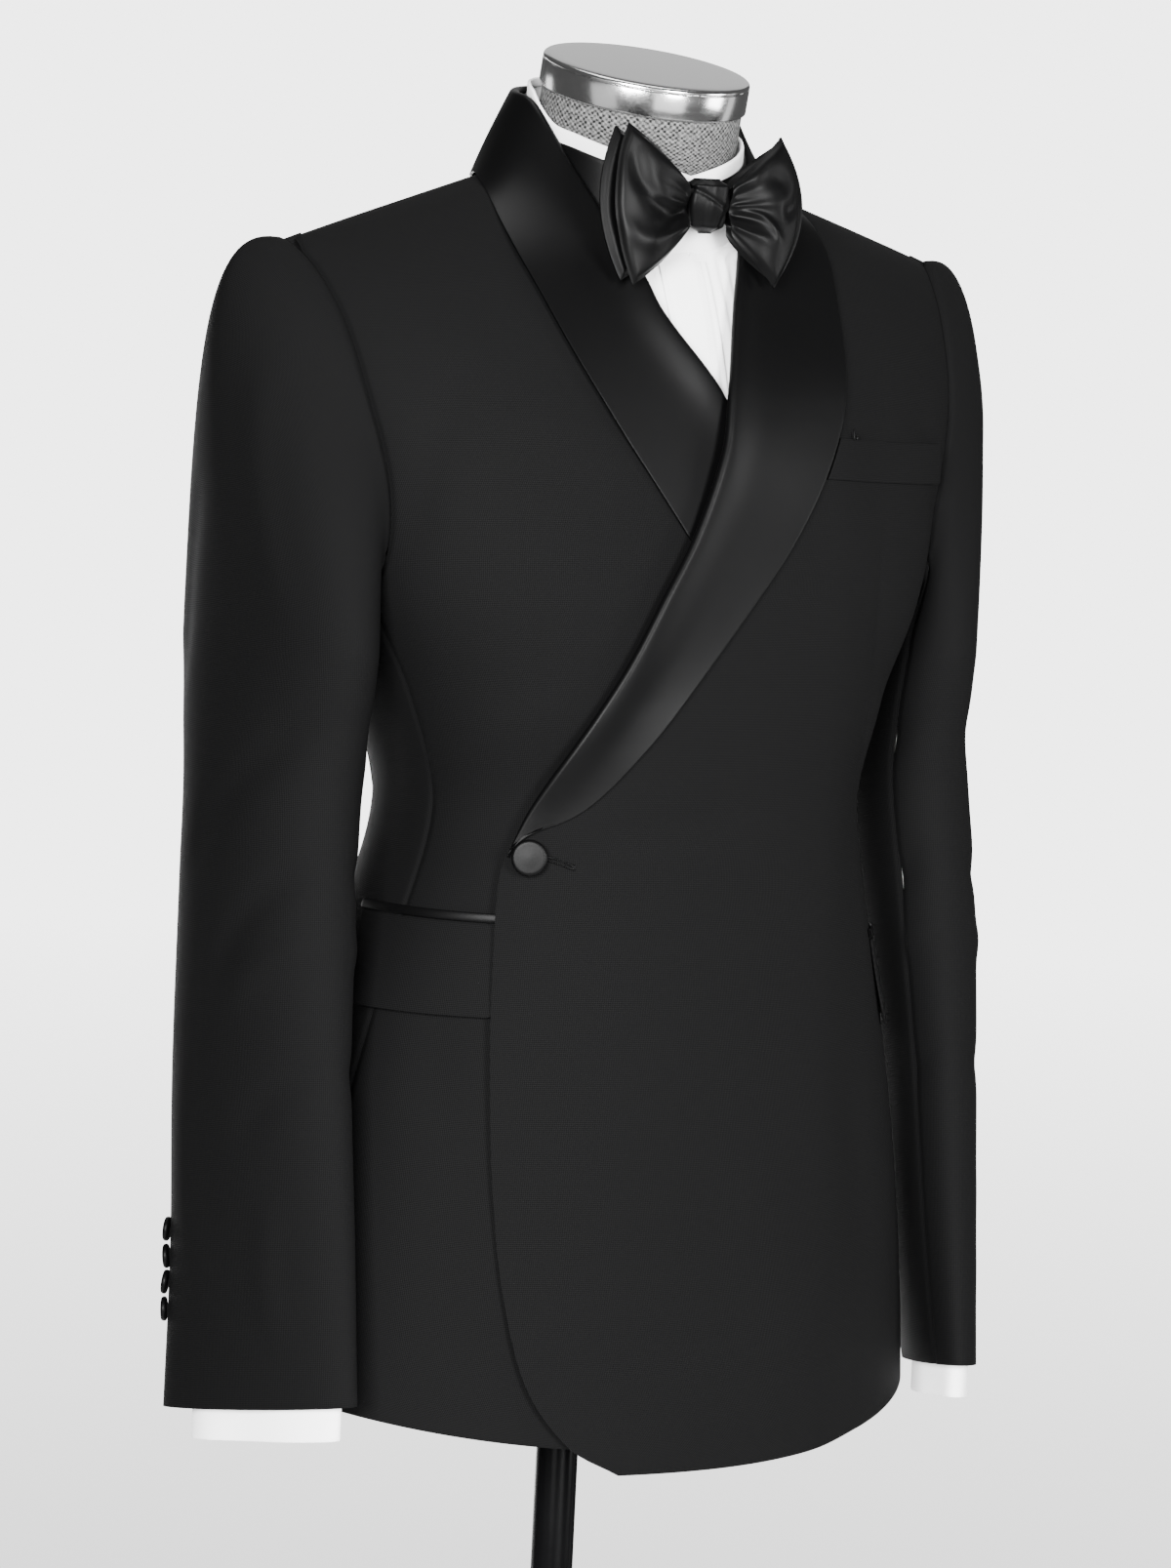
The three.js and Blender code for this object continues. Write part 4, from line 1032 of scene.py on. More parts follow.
    def back(self, side: Side) -> None:
        """Builds one back half with its centre seam, side seam and armhole."""
        across, along = unit_square(66, 126)
        across = near_edges(across)
        side_v = mix(self.hem, SHOULDER_V, along)
        level = Torso.level(side_v)
        reach = np.where(level > ARMHOLE.middle, ARMHOLE.reach_at(level), ARMHOLE.reach)
        side_x = Torso.point(90 * DEGREE - reach, side_v)[..., 0]
        nape_v = Torso.v_of(np.array(0.0), np.array(self.nape))
        centre_v = mix(self.hem - self.back_drop, nape_v, np.clip(along / self.nape_share, 0, 1))
        neck = ease(self.nape_share, 1, along)
        edge_x = mix(self.seam_gap / 2, 78, neck)
        x = mix(edge_x, side_x - self.seam_gap, across)
        top = SHOULDER_V - 1.2
        v = mix(mix(centre_v, top, neck**2), np.minimum(side_v, top), across)
        grid = self.outward(Grid(Torso.skin(math.pi - Torso.phi_of(x, v), v, 0 * v)))
        grid = self.creased(grid, self.BACK_CREASES).turned_edges(0.9, 2.2, "lr").mirrored(side)
        self.finish(f"{side.word}_back", grid)

    def build(self) -> None:
        """Builds all six panels."""
        for side in Side:
            self.front(side)
            self.side_panel(side)
            self.back(side)


@dataclass
class Sleeves:
    """Two-piece jacket sleeves with their sleeve heads."""

    cloth: float = 2.0
    front_seam: float = -42
    back_seam: float = 176
    head_share: float = 0.42
    armhole_lift: float = 0.9
    head_lift: float = 0.6
    underarm_lift: float = -1.0
    seam: Armhole = Armhole(up=98.6, down=104.4, reach=29.3 * DEGREE)
    rows: int = 130

    SECTIONS = Table(
        ("height", "x", "y", "breadth", "thickness", "toe", "slant"),
        (810, 232, -54, 133, 37, 24, 9),
        (900, 228, -42, 129, 47, 21, 7),
        (1000, 225.5, -28, 127, 57, 18, 4),
        (1100, 219, -14.7, 127, 69, 14, 1),
        (1150, 214.5, -7, 129, 72, 12, 0),
        (1180, 211.5, -3, 140, 72, 10, 0),
        (1235, 210, -1, 164, 68, 7, 0),
    )
    HEM = 810.0
    HEAD = 1235.0
    CREASES = (
        Crease((-70, 1200), (10, 1110), 11, -2.0),
        Crease((-75, 1120), (-20, 1050), 9, -2.2),
        Crease((-80, 1075), (-30, 1035), 8, 1.6),
        Crease((-95, 1010), (-45, 960), 9, -1.4),
        Crease((25, 1330), (55, 1200), 12, -1.6),
        Crease((-30, 1400), (-48, 1250), 10, 1.3),
        Crease((0, 1000), (-30, 860), 15, 1.4),
        Crease((-70, 930), (-80, 850), 8, 1.1),
    )

    def ring(self, turn: Array, height: Array) -> Array:
        """Points of a sleeve section."""
        def at(column: str) -> Array:
            return self.SECTIONS.at(column, height)

        toe = at("toe") * DEGREE
        ahead = at("breadth") / 2 * np.cos(turn)
        out = at("thickness") / 2 * np.sin(turn)
        x = at("x") - np.sin(toe) * ahead + np.cos(toe) * out
        y = at("y") - np.cos(toe) * ahead - np.sin(toe) * out
        return stack(x, y, height + at("slant") * np.cos(turn))

    def point(self, turn: Array, along: Array) -> Array:
        """Points from the armhole (along 0) over the sleeve head to the hem (along 1)."""
        below = np.clip((along - self.head_share) / (1 - self.head_share), 0, 1)
        lower = self.ring(turn, mix(self.HEAD, self.HEM, below))
        part = np.clip(along / self.head_share, 0, 1)
        top = np.maximum(0, np.sin(turn))
        lift = mix(self.armhole_lift, self.head_lift, top**6)
        lift = mix(lift, self.underarm_lift, ease(0, 0.4, -np.sin(turn)))
        start = Torso.skin(*self.seam.at(turn), lift)
        end = self.ring(turn, self.HEAD + 0 * turn)
        outward = stack(mix(30, 212, top), 50 * top, mix(-10, 48, top))
        drop = stack(0 * top, 0 * top, -np.maximum(40, start[..., 2] - end[..., 2]))
        soft = part * part * (3 - 2 * part)
        leave = part * (1 - part) ** 2
        arrive = part * part * (part - 1)
        upper = lerp(start, end, soft) + outward * leave[..., None] + drop * arrive[..., None]
        return np.where((along >= self.head_share)[..., None], lower, upper)

    def skin(self, turn: Array, along: Array, lift: Array) -> Array:
        """Points moved out from the sleeve's surface."""
        near = np.clip(along, 0.012, 0.988)
        across = self.point(turn + 0.02, near) - self.point(turn - 0.02, near)
        down = self.point(turn, near + 0.01) - self.point(turn, near - 0.01)
        normal = unit(np.cross(down, across))
        return self.point(turn, along) + normal * np.asarray(lift)[..., None]

    def piece(self, side: Side, part: str, start: float, end: float, columns: int) -> None:
        """Builds one sleeve piece between two seams.

        Args:
            side: the wearer's side.
            part: top or under.
            start: the turn of its first seam, in degrees.
            end: the turn of its last seam, in degrees.
            columns: how many cells wide the grid is.
        """
        across, along = unit_square(columns, self.rows)
        turn = mix(start + 0.12, end - 0.12, near_edges(across)) * DEGREE
        along = along**0.94
        points = self.skin(turn, along, 0 * turn)
        ridge = np.exp(-(((turn / DEGREE - 90) / 20) ** 2) - ((along - 0.14) / 0.1) ** 2)
        points = relaxed(points.swapaxes(0, 1), ridge.swapaxes(0, 1), 14).swapaxes(0, 1)
        grid = Grid(points)
        middle = self.skin(turn + math.pi, along, 0 * turn)
        if np.sum(grid.normals() * (grid.points - middle)) < 0:
            grid = Grid(grid.points[:, ::-1])
        up = grid.points[..., 2]
        if part == "top":
            grid = grid.lifted(sum(crease.lift(grid.points[..., 1], up) for crease in self.CREASES))
        grid = grid.turned_edges(0.9, 2.2, "lr").turned_edges(2.2, 2.4, "b").mirrored(side)
        node = f"{side.word}_{part}_sleeve"
        centre = (side.value * 214, -15, 1100)
        sew_sheet(node, grid, centre, self.cloth, WOOL, Hold.HUNG, "dress_form_linen")

    def allowance(self, side: Side) -> None:
        """Builds the seam allowance that lies under the shoulder at the sleeve head."""
        across, along = unit_square(10, 60)
        turn = mix(150, 30, along) * DEGREE
        shift = mix(-10, 3, across)
        seam = Torso.skin(*ARMHOLE.at(turn), -2.6 + 0 * turn)
        grid = Grid(seam + stack(shift, 0 * shift, -0.36 * shift)).mirrored(side)
        name = f"{side.word}_sleeve_head_allowance"
        mesh = cloth_mesh(name, grid, Vector((side.value * 200, 0, 1300)), 1.0)
        place_piece(mesh, WOOL)
        declare_cloth(mesh, grid, Hold.FOLDED, f"{side.word}_front_cloth")

    def build(self) -> None:
        """Builds both sleeves."""
        for side in Side:
            self.allowance(side)
            self.piece(side, "top", self.front_seam, self.back_seam, 90)
            self.piece(side, "under", self.back_seam, self.front_seam + 360, 60)


@dataclass
class ShawlCollar:
    """The satin shawl collar in two halves, each rolled over its front edge, and the stand."""

    body: JacketBody
    satin: float = 1.5
    gap: float = 0.7
    roll_radius: float = 2.7
    neck_middle_y: float = -17
    wrap_share: float = 0.14

    LEFT_ROWS = Table(
        ("row", "roll_x", "roll_z", "out_x", "out_z"),
        (0, -115, 1125, -109, 1136),
        (1, -103, 1154, -80, 1153),
        (2, -86, 1190, -50, 1188),
        (3, -61, 1235, -19, 1228),
        (4, -42, 1272, 13, 1268),
        (5, -22, 1308, 41, 1304),
        (6, -4, 1352, 67, 1344),
        (7, 5, 1388, 84, 1380),
        (8, 15, 1420, 92, 1414),
        (9, 25, 1447, 97, 1444),
        (10, 38, 1474, 103, 1468),
        (11, 54, 1498, 107, 1488),
    )
    RIGHT_ROWS = Table(
        ("row", "roll_x", "roll_z", "out_x", "out_z"),
        (-1.3, -48, 1309, -24, 1236),
        (0, -22, 1350, 14, 1290),
        (1, -2, 1382, 45, 1334),
        (2, 12, 1401, 64, 1362),
        (3, 25, 1418, 80, 1390),
        (4, 34, 1433, 92, 1415),
        (5, 39, 1449, 102, 1443),
        (6, 49.5, 1473, 108, 1467),
        (7, 57, 1497, 107, 1488),
    )
    NECK_ROWS = Table(
        ("row", "roll_x", "roll_y", "roll_z", "out_x", "over", "seam_x", "seam_over"),
        (0, 58, -57, 1505, 106, 0.815, 66, 0.87),
        (1, 68, -33, 1527, 98, 0.95, 74, 0.97),
        (2, 69.5, -14, 1545, 89, 1.06, 76, 1.04),
        (3, 66.5, 12, 1550, 79, 1.16, 64, 1.135),
        (4, 44.5, 42.5, 1552.6, 52, 1.27, 38, 1.235),
        (5, 0, 58.5, 1554, 0, 1.35, 0, 1.3),
    )
    NECK_LAST = 5

    def neck_point(self, across: Array, row: Array) -> Array:
        """Collar points round the neck, from the roll line to the outer edge."""
        def at(column: str) -> Array:
            return self.NECK_ROWS.at(column, row)

        roll = stack(at("roll_x"), at("roll_y"), at("roll_z"))
        out = Torso.over_shoulder(at("out_x"), at("over"), self.gap + 2.0 + 0 * row)
        bulge = unit(stack(roll[..., 0], roll[..., 1] - self.neck_middle_y, 0 * row))
        middle = lerp(roll, out, 0.5 + 0 * row) + bulge * 3
        middle[..., 2] += 3
        near = lerp(roll, middle, across)
        return lerp(near, lerp(middle, out, across), across)

    def point(self, rows: Table, last: float, lift_at: Callable, across: Array, row: Array) -> Array:
        """Lapel points blended into the collar round the neck."""
        place = np.minimum(row, last)
        roll_x, out_x = rows.at("roll_x", place), rows.at("out_x", place)
        roll_z, out_z = rows.at("roll_z", place), rows.at("out_z", place)
        x, z = mix(roll_x, out_x, across), mix(roll_z, out_z, across)
        width = np.hypot(out_x - roll_x, out_z - roll_z)
        roll = self.body.roll(across * width) * ease(0, 2, row)
        belly = 1.6 * np.clip(across, 0, 1) ** 3 * ease(0.3, 2.5, row)
        lift = lift_at(x, z) + self.gap + 1.6 + roll + belly
        lapel = Torso.on_front(x, z, lift)
        neck = self.neck_point(across, np.clip(row - last, 0, self.NECK_LAST))
        return lerp(lapel, neck, ease(last - 0.6, last + 0.8, row))

    def half(self, side: Side) -> None:
        """Builds one half with its rolled edge."""
        left = side is Side.LEFT
        rows, first, last = (self.LEFT_ROWS, 0, 11) if left else (self.RIGHT_ROWS, -1.3, 7)
        lift_at = self.body.wrap_lift if left else self.body.flat_lift
        total = last + self.NECK_LAST
        across, along = unit_square(70, 14 * total)
        row = mix(first, total, along)
        flat = np.clip((across - self.wrap_share) / (1 - self.wrap_share), 0, 1)
        low = np.clip(flat, 0.01, 0.99)

        def place(part: Array, at: Array) -> Array:
            return self.point(rows, last, lift_at, part, np.clip(at, first, total))

        wide = unit(place(low + 0.01, row) - place(low - 0.01, row))
        long = unit(place(low, row + 0.04) - place(low, row - 0.04))
        normal = unit(np.cross(wide, long))
        surface = place(flat, row)
        radius = (self.roll_radius * ease(-0.6, 1.6, row) + 0.5)[..., None]
        angle = math.pi * np.clip(1 - across / self.wrap_share, 0, 1)[..., None]
        rolled = surface - normal * radius + radius * (normal * np.cos(angle) - wide * np.sin(angle))
        points = np.where((across < self.wrap_share)[..., None], rolled, surface)
        points = relaxed(points, np.exp(-(((row - last - 0.3) / 1.3) ** 2)), 220)
        behind = ease(last + 2.5, last + 3, row)
        points[..., 0] = np.maximum(points[..., 0], mix(-500, self.body.seam_gap / 2, behind))
        grid = Grid(points).mirrored(side)
        node = f"{side.word}_shawl_collar"
        sew_sheet(
            node, grid, (0, 40, 1300), self.satin, SATIN, Hold.FOLDED,
            f"{side.word}_front_cloth", grain_turn=20
        )

    def stand(self) -> None:
        """Builds the collar stand between the neck seam and the roll."""
        across, up = unit_square(160, 14)
        turn = mix(-4.4, 4.4, across)
        row = self.NECK_LAST - np.abs(turn)

        def at(column: str) -> Array:
            return self.NECK_ROWS.at(column, row)

        seam = Torso.over_shoulder(at("seam_x"), at("seam_over"), 1.3 + 0 * row)
        roll = stack(at("roll_x"), at("roll_y"), at("roll_z") - 2.4)
        point = lerp(seam, roll, up)
        inward = unit(stack(point[..., 0], point[..., 1] - self.neck_middle_y, 0 * row))
        point = point - inward * (2.7 * up)[..., None]
        point[..., 0] *= np.sign(turn + 1e-9)
        grid = Grid(point)
        sew_sheet(
            "collar_stand", grid, (0, self.neck_middle_y, 1500), 1.8, WOOL, Hold.FOLDED, "shirt_collar_cotton"
        )

    def build(self) -> None:
        """Builds both halves and the stand."""
        for side in Side:
            self.half(side)
        self.stand()


def stitch(bm: bmesh.types.BMesh, start: Vector, end: Vector, radius: float) -> None:
    """Adds one rounded thread stitch between two places, in metres."""
    line = end - start
    made = bmesh.ops.create_uvsphere(bm, u_segments=6, v_segments=5, radius=1.0)
    turn = Vector((0, 0, 1)).rotation_difference(line).to_matrix().to_4x4()
    size = Matrix.Diagonal((radius, radius, line.length / 2, 1))
    place = Matrix.Translation((start + end) / 2) @ turn @ size
    bmesh.ops.transform(bm, matrix=place, verts=made["verts"])


@dataclass
class Pockets:
    """Two jetted flap pockets and the breast welt."""

    body: JacketBody
    top: float = 1086
    bottom: float = 1034
    corner: float = 11
    gap: float = 0.5
    cloth: float = 1.2

    def flap(self, side: Side, start: float, end: float, lean: float, drop: float) -> None:
        """Builds one flap with its jetting.

        Args:
            side: the wearer's side.
            start: angle of its front end, in degrees.
            end: angle of its back end, in degrees.
            lean: how much further back the top of that end lies, in degrees.
            drop: how far it hangs above the usual height, in millimetres.
        """
        across, along = unit_square(70, 36)
        length = 160 * (end - start) * DEGREE
        off_end = np.minimum(across, 1 - across) * length
        inward = np.clip(self.corner - off_end, 0, self.corner)
        cut = self.corner - np.sqrt(np.maximum(self.corner**2 - inward**2, 0))
        phi = mix(start, end + lean * (1 - along), across) * DEGREE
        z = mix(self.top, self.bottom + cut, along) + drop
        tip = 1.6 * along**2 * np.abs(2 * across - 1) ** 3
        stand = self.gap + self.cloth + 2 * along * across + 0.5 * along + tip
        grid = self.body.outward(Grid(Torso.skin(phi + 0.012 * along, z, stand))).mirrored(side)
        node = f"{side.word}_pocket_flap"
        sew_sheet(node, grid, (0, -10, 1060), self.cloth, WOOL, Hold.HUNG, f"{side.word}_front_cloth")
        across, along = unit_square(60, 24)
        phi = mix(start - 0.6, end + lean + 0.6, across) * DEGREE
        bend = 2 * math.pi * (along - 0.25)
        z = 1089.5 + drop - 2.6 * np.cos(math.pi * (2 * np.abs(along - 0.5)))
        front = self.gap + self.cloth + 0.7 * np.cos(bend)
        lift = np.where(along < 0.5, front, self.gap + 0.35)
        grid = self.body.outward(Grid(Torso.skin(phi, z, lift))).mirrored(side)
        node = f"{side.word}_pocket_jetting"
        sew_sheet(
            node, grid, (0, -10, 1060), 0.4, SATIN, Hold.FOLDED, f"{side.word}_front_cloth", grain_turn=45
        )

    def welt(self) -> None:
        """Builds the breast welt on the left front."""
        across, along = unit_square(60, 16)
        x = mix(67.5 + 12 * along, 176, across)
        z = 1339 - 3 * across + 23 * along
        bow = 0.35 * np.sin(math.pi * along)
        lift = self.body.wrap_lift(x, z) + 0.7 + self.cloth + bow
        grid = self.body.outward(Grid(Torso.on_front(x, z, lift)))
        sew_sheet("breast_welt", grid, (120, 0, 1350), self.cloth, WOOL, Hold.STRETCHED, "left_front_cloth")

    def tack(self) -> None:
        """Sews the short thread tack at the front of the welt's upper edge."""
        bm = bmesh.new()
        bm.loops.layers.uv.new("grain")

        def on_welt(x: float, z: float) -> Vector:
            """A place just off the welt, in metres."""
            rise = self.body.wrap_lift(np.array(x), np.array(z)) + 2.6
            return Vector(Torso.on_front(np.array(x), np.array(z), rise)) * MM

        stitch(bm, on_welt(90, 1360.5), on_welt(90, 1367.5), 0.5 * MM)
        stitch(bm, on_welt(91.5, 1361), on_welt(93.5, 1364), 1.1 * MM)
        place_piece(new_object("welt_tack", bm), SATIN)

    def build(self) -> None:
        """Builds both pockets and the welt."""
        self.flap(Side.RIGHT, 41, 84, 7, 0)
        self.flap(Side.LEFT, 57, 106, 0, -16)
        self.welt()
        self.tack()


def turned_bmesh(profile: list[tuple[float, float]], steps: int) -> bmesh.types.BMesh:
    """Spins a profile of radius and height round the Z axis.

    Args:
        profile: radius and height pairs in millimetres, closed on itself or on the axis.
        steps: how many steps the spin takes.

    Returns:
        The closed bmesh, in metres.
    """
    bm = bmesh.new()
    verts = [bm.verts.new((radius * MM, 0, height * MM)) for radius, height in profile]
    edges = [bm.edges.new(pair) for pair in zip(verts, verts[1:])]
    bmesh.ops.spin(
        bm,
        geom=verts + edges,
        cent=(0, 0, 0),
        axis=(0, 0, 1),
        angle=2 * math.pi,
        steps=steps,
        use_merge=True,
    )
    bmesh.ops.remove_doubles(bm, verts=bm.verts, dist=1e-6)
    bmesh.ops.recalc_face_normals(bm, faces=bm.faces)
    return bm


def facing_matrix(seat: Array, facing: Array) -> Matrix:
    """Places a piece made round the Z axis on a seat, facing a direction."""
    turn = Vector((0, 0, 1)).rotation_difference(Vector(facing)).to_matrix().to_4x4()
    return Matrix.Translation(Vector(seat) * MM) @ turn


def soften(piece: bpy.types.Object, width: float, segments: int = 3, angle: float = 28.0) -> None:
    """Rounds a piece's sharp edges by a width in millimetres."""
    rim = piece.modifiers.new("rounded edge", "BEVEL")
    rim.width = width * MM
    rim.segments = segments
    rim.limit_method = "ANGLE"
    rim.angle_limit = angle * DEGREE


@dataclass
class Buttons:
    """The covered front button with its buttonhole, and four buttons on each sleeve."""

    body: JacketBody
    sleeves: Sleeves
    front_x: float = -105.5
    front_z: float = 1124.5
    radius: float = 10.4
    height: float = 5
    sleeve_radius: float = 7
    sleeve_height: float = 4
    first: float = 0.868
    pitch: float = 0.0198
    turn: float = 168
    hole_start: float = 8.5
    hole_length: float = 12
    hole_width: float = 3.6
    hole_slope: float = 0.36
    stitches: int = 58

    def cover(self, name: str, radius: float, height: float, place: Matrix) -> bpy.types.Object:
        """Makes a satin-covered button: a dome with a turned rim and a soft crease inside it."""
        shape = (
            (0.0, 0.0), (0.62, 0.0), (0.86, 0.06), (0.97, 0.2), (1.0, 0.42), (0.985, 0.62),
            (0.94, 0.78), (0.87, 0.87), (0.78, 0.88), (0.6, 0.89), (0.4, 0.91), (0.2, 0.93), (0.0, 0.94),
        )
        bm = turned_bmesh([(share * radius, up * height) for share, up in shape], 48)
        bmesh.ops.transform(bm, matrix=place, verts=bm.verts)
        layer = bm.loops.layers.uv.new("grain")
        flat = place.inverted()
        for face in bm.faces:
            for loop in face.loops:
                loop[layer].uv = (flat @ loop.vert.co).xy
        piece = new_object(name, bm)
        smooth = piece.modifiers.new("smooth", "SUBSURF")
        smooth.levels = smooth.render_levels = 1
        return piece

    def front(self) -> None:
        """Builds the front button."""
        lift = self.body.wrap_lift(self.front_x, self.front_z) + 3.0
        x, z = np.array(self.front_x), np.array(self.front_z)
        seat = Torso.on_front(x, z, lift)
        facing = unit(Torso.on_front(x, z, 20.0) - Torso.on_front(x, z, 0.0))
        piece = self.cover("front_button_cover", self.radius, self.height, facing_matrix(seat, facing))
        place_piece(piece, SATIN, "front_button")

    def buttonhole(self) -> None:
        """Sews the buttonhole as a long ring of close stitches with a bar at its far end."""
        bm = bmesh.new()
        bm.loops.layers.uv.new("grain")

        def on_cloth(ahead: float, up: float, lift: float) -> Vector:
            """A place beside the button, by its distance along and across the hole."""
            x = self.front_x + ahead
            z = self.front_z - self.hole_slope * (ahead - self.hole_start) + up
            rise = self.body.wrap_lift(np.array(x), np.array(z)) + lift
            return Vector(Torso.on_front(np.array(x), np.array(z), rise)) * MM

        for index in range(self.stitches):
            angle = 2 * math.pi * (index + 0.5) / self.stitches
            ahead = self.hole_start + self.hole_length / 2 * (1 + signed_power(math.cos(angle), 0.6))
            side = signed_power(math.sin(angle), 0.45)
            inner = on_cloth(ahead, 0.6 * side, 0.75)
            outer = on_cloth(ahead + 0.9 * math.cos(angle), self.hole_width / 2 * side, 0.5)
            stitch(bm, inner, outer, 0.5 * MM)
        end = self.hole_start + self.hole_length
        for shift in (-0.4, 0.3, 1.0):
            stitch(bm, on_cloth(end + shift, -1.9, 0.5), on_cloth(end + shift, 1.9, 0.5), 0.4 * MM)
        place_piece(new_object("buttonhole_stitching", bm), SATIN)

    def on_sleeve(self, side: Side, index: int) -> None:
        """Builds one sleeve button, tilted a little."""
        along = self.first + index * self.pitch
        turn = np.array(self.turn * DEGREE)
        flip = np.array([side.value, 1, 1])
        seat = self.sleeves.skin(turn, np.array(along), np.array(0.3)) * flip
        facing = unit(self.sleeves.skin(turn, np.array(along), np.array(10.0)) * flip - seat)
        tilt = (0.1, -0.07, 0.12, -0.04)[index]
        facing = unit(facing + np.array([0, 0.3 * tilt, tilt]))
        place = facing_matrix(seat, facing)
        name = f"{side.word}_sleeve_button_{index + 1}"
        piece = self.cover(f"{name}_cover", self.sleeve_radius, self.sleeve_height, place)
        place_piece(piece, SATIN, name)

    def build(self) -> None:
        """Builds all buttons and the buttonhole."""
        self.front()
        self.buttonhole()
        for side in Side:
            for index in range(4):
                self.on_sleeve(side, index)


@dataclass
class Shirt:
    """The dress shirt: pleated fronts, placket, back, sleeves, cuffs and collar."""

    sleeves: Sleeves
    depth: float = -6
    back_depth: float = -8
    cloth: float = 0.8
    hem: float = 868
    pleat_pitch: float = 7.5
    pleat_rise: float = 1.3
    placket_shift: float = 6
    neck_radius: float = 63
    neck_middle_y: float = -17
    sleeve_depth: float = 5.2
    cuff_breadth: float = 102
    cuff_thickness: float = 28
    cuff_ahead: float = 5
    cuff_top: float = 862
    cuff_end: float = 792
    cuff_slant: float = 6

    ROWS = Table(
        ("row", "edge_x", "edge_z", "level"),
        (0, 0.2, 868, 868),
        (1, 0.2, 960, 960),
        (2, 0.2, 1060, 1060),
        (3, 0.2, 1150, 1150),
        (4, 0.2, 1210, 1205),
        (5, 0.2, 1262, 1250),
        (6, 0.2, 1290, 1268),
        (7, 0.2, 1335, 1300),
        (8, 0.2, 1380, 1345),
        (9, 0.2, 1425, 1395),
        (10, 0.2, 1468, 1432),
        (11, 30, 1475, 1452),
        (12, 58, 1494, 1460),
        (13, 66, 1520, 1462),
    )
    LAST_ROW = 13
    COLLAR = Table(
        ("angle", "top", "foot"),
        (0, 1508, 1460),
        (45, 1522, 1476),
        (65, 1529, 1493),
        (80, 1534, 1506),
        (95, 1545, 1509),
        (105, 1553, 1509),
        (130, 1559, 1505),
        (180, 1562, 1502),
    )

    def side_angle(self, level: Array) -> Array:
        """Angle of the shirt's side, at the armhole's front where there is one."""
        high = level > ARMHOLE.middle - ARMHOLE.down
        return np.where(high, 90 * DEGREE - ARMHOLE.reach_at(level), 90 * DEGREE)

    def pleats(self, x: Array) -> Array:
        """Lift of the pressed pleats beside the placket."""
        share = (np.abs(x) - 12) / self.pleat_pitch
        part = share - np.floor(share)
        crest = np.where(part < 0.8, part / 0.8, (1 - part) / 0.2)
        field_width = ease(10, 14, np.abs(x)) * (1 - ease(92, 100, np.abs(x)))
        return self.pleat_rise * crest * field_width

    def front(self, side: Side) -> None:
        """Builds one front with its pleats."""
        across, along = unit_square(170, 40)
        row = along * self.LAST_ROW
        level = self.ROWS.at("level", row)
        edge_x = self.ROWS.at("edge_x", row)
        edge_v = Torso.v_of(edge_x, self.ROWS.at("edge_z", row))
        across = across**1.25
        v = mix(edge_v, Torso.rise(level), across)
        phi = mix(Torso.phi_of(edge_x, edge_v), self.side_angle(level) - 0.002, across)
        lift = self.depth + self.pleats(Torso.point(phi, v)[..., 0])
        grid = Grid(Torso.skin(phi, v, lift)).mirrored(side)
        node = f"shirt_{side.word}_front"
        sew_sheet(node, grid, (0, -10, 1200), self.cloth, COTTON, Hold.STRETCHED, "dress_form_linen")

    def placket(self) -> None:
        """Builds the placket with a stitched line near each edge."""
        across, along = unit_square(32, 90)
        off = mix(-16, 16, across)
        x = off - self.placket_shift * ease(1200, 1330, mix(self.hem, 1462, along))
        z = mix(self.hem, 1462, along)
        stitched = 0.35 * np.exp(-(((np.abs(off) - 12.5) / 0.9) ** 2))
        grid = Grid(Torso.on_front(x, z, self.depth + 1.9 - stitched))
        sew_sheet(
            "shirt_placket", grid, (0, -10, 1200), self.cloth, COTTON, Hold.STRETCHED,
            "shirt_left_front_cotton"
        )

    def back(self) -> None:
        """Builds the back."""
        across, along = unit_square(64, 48)
        share = 2 * across - 1
        side_v = mix(self.hem, SHOULDER_V, along)
        neck_v = Torso.v_of(np.array(0.0), np.array(1500.0))
        v = mix(mix(self.hem, neck_v, along), side_v, ease(0, 0.35, np.abs(share)))
        phi = math.pi - (self.side_angle(Torso.level(side_v)) - 0.004) * share
        grid = Grid(Torso.skin(phi, np.minimum(v, SHOULDER_V - 3), self.back_depth + 0 * v))
        sew_sheet("shirt_back", grid, (0, -10, 1200), self.cloth, COTTON, Hold.STRETCHED, "dress_form_linen")

    def cuff_ring(self, turn: Array, height: Array, loose: Array) -> Array:
        """Points of the cuff, with loose as its waviness outwards."""
        sections = self.sleeves.SECTIONS
        toe = sections.at("toe", height) * DEGREE
        ahead = self.cuff_ahead + self.cuff_breadth / 2 * np.cos(turn)
        out = (self.cuff_thickness / 2 + loose) * np.sin(turn)
        x = sections.at("x", height) - np.sin(toe) * ahead + np.cos(toe) * out
        y = sections.at("y", height) - np.cos(toe) * ahead - np.sin(toe) * out
        return stack(x, y, height + self.cuff_slant * np.cos(turn))

    def sleeve(self, side: Side) -> None:
        """Builds one sleeve, gathered into its cuff."""
        across, along = unit_square(96, 36)
        turn = 2 * math.pi * across
        ripple = 0.8 * np.sin(9 * turn) * ease(0.75, 1, along)
        loose = self.sleeves.skin(turn, mix(0.07, 0.9, along), ripple - self.sleeve_depth)
        gathered = self.cuff_ring(turn, self.cuff_top + 0.3 + 0 * turn, ripple)
        grid = Grid(lerp(loose, gathered, ease(0.5, 1, along))).mirrored(side)
        node = f"shirt_{side.word}_sleeve"
        inside = (side.value * 215, -20, 1100)
        sew_sheet(
            node, grid, inside, self.cloth, COTTON, Hold.GATHERED,
            f"{side.word}_top_sleeve_cloth", closed=True
        )

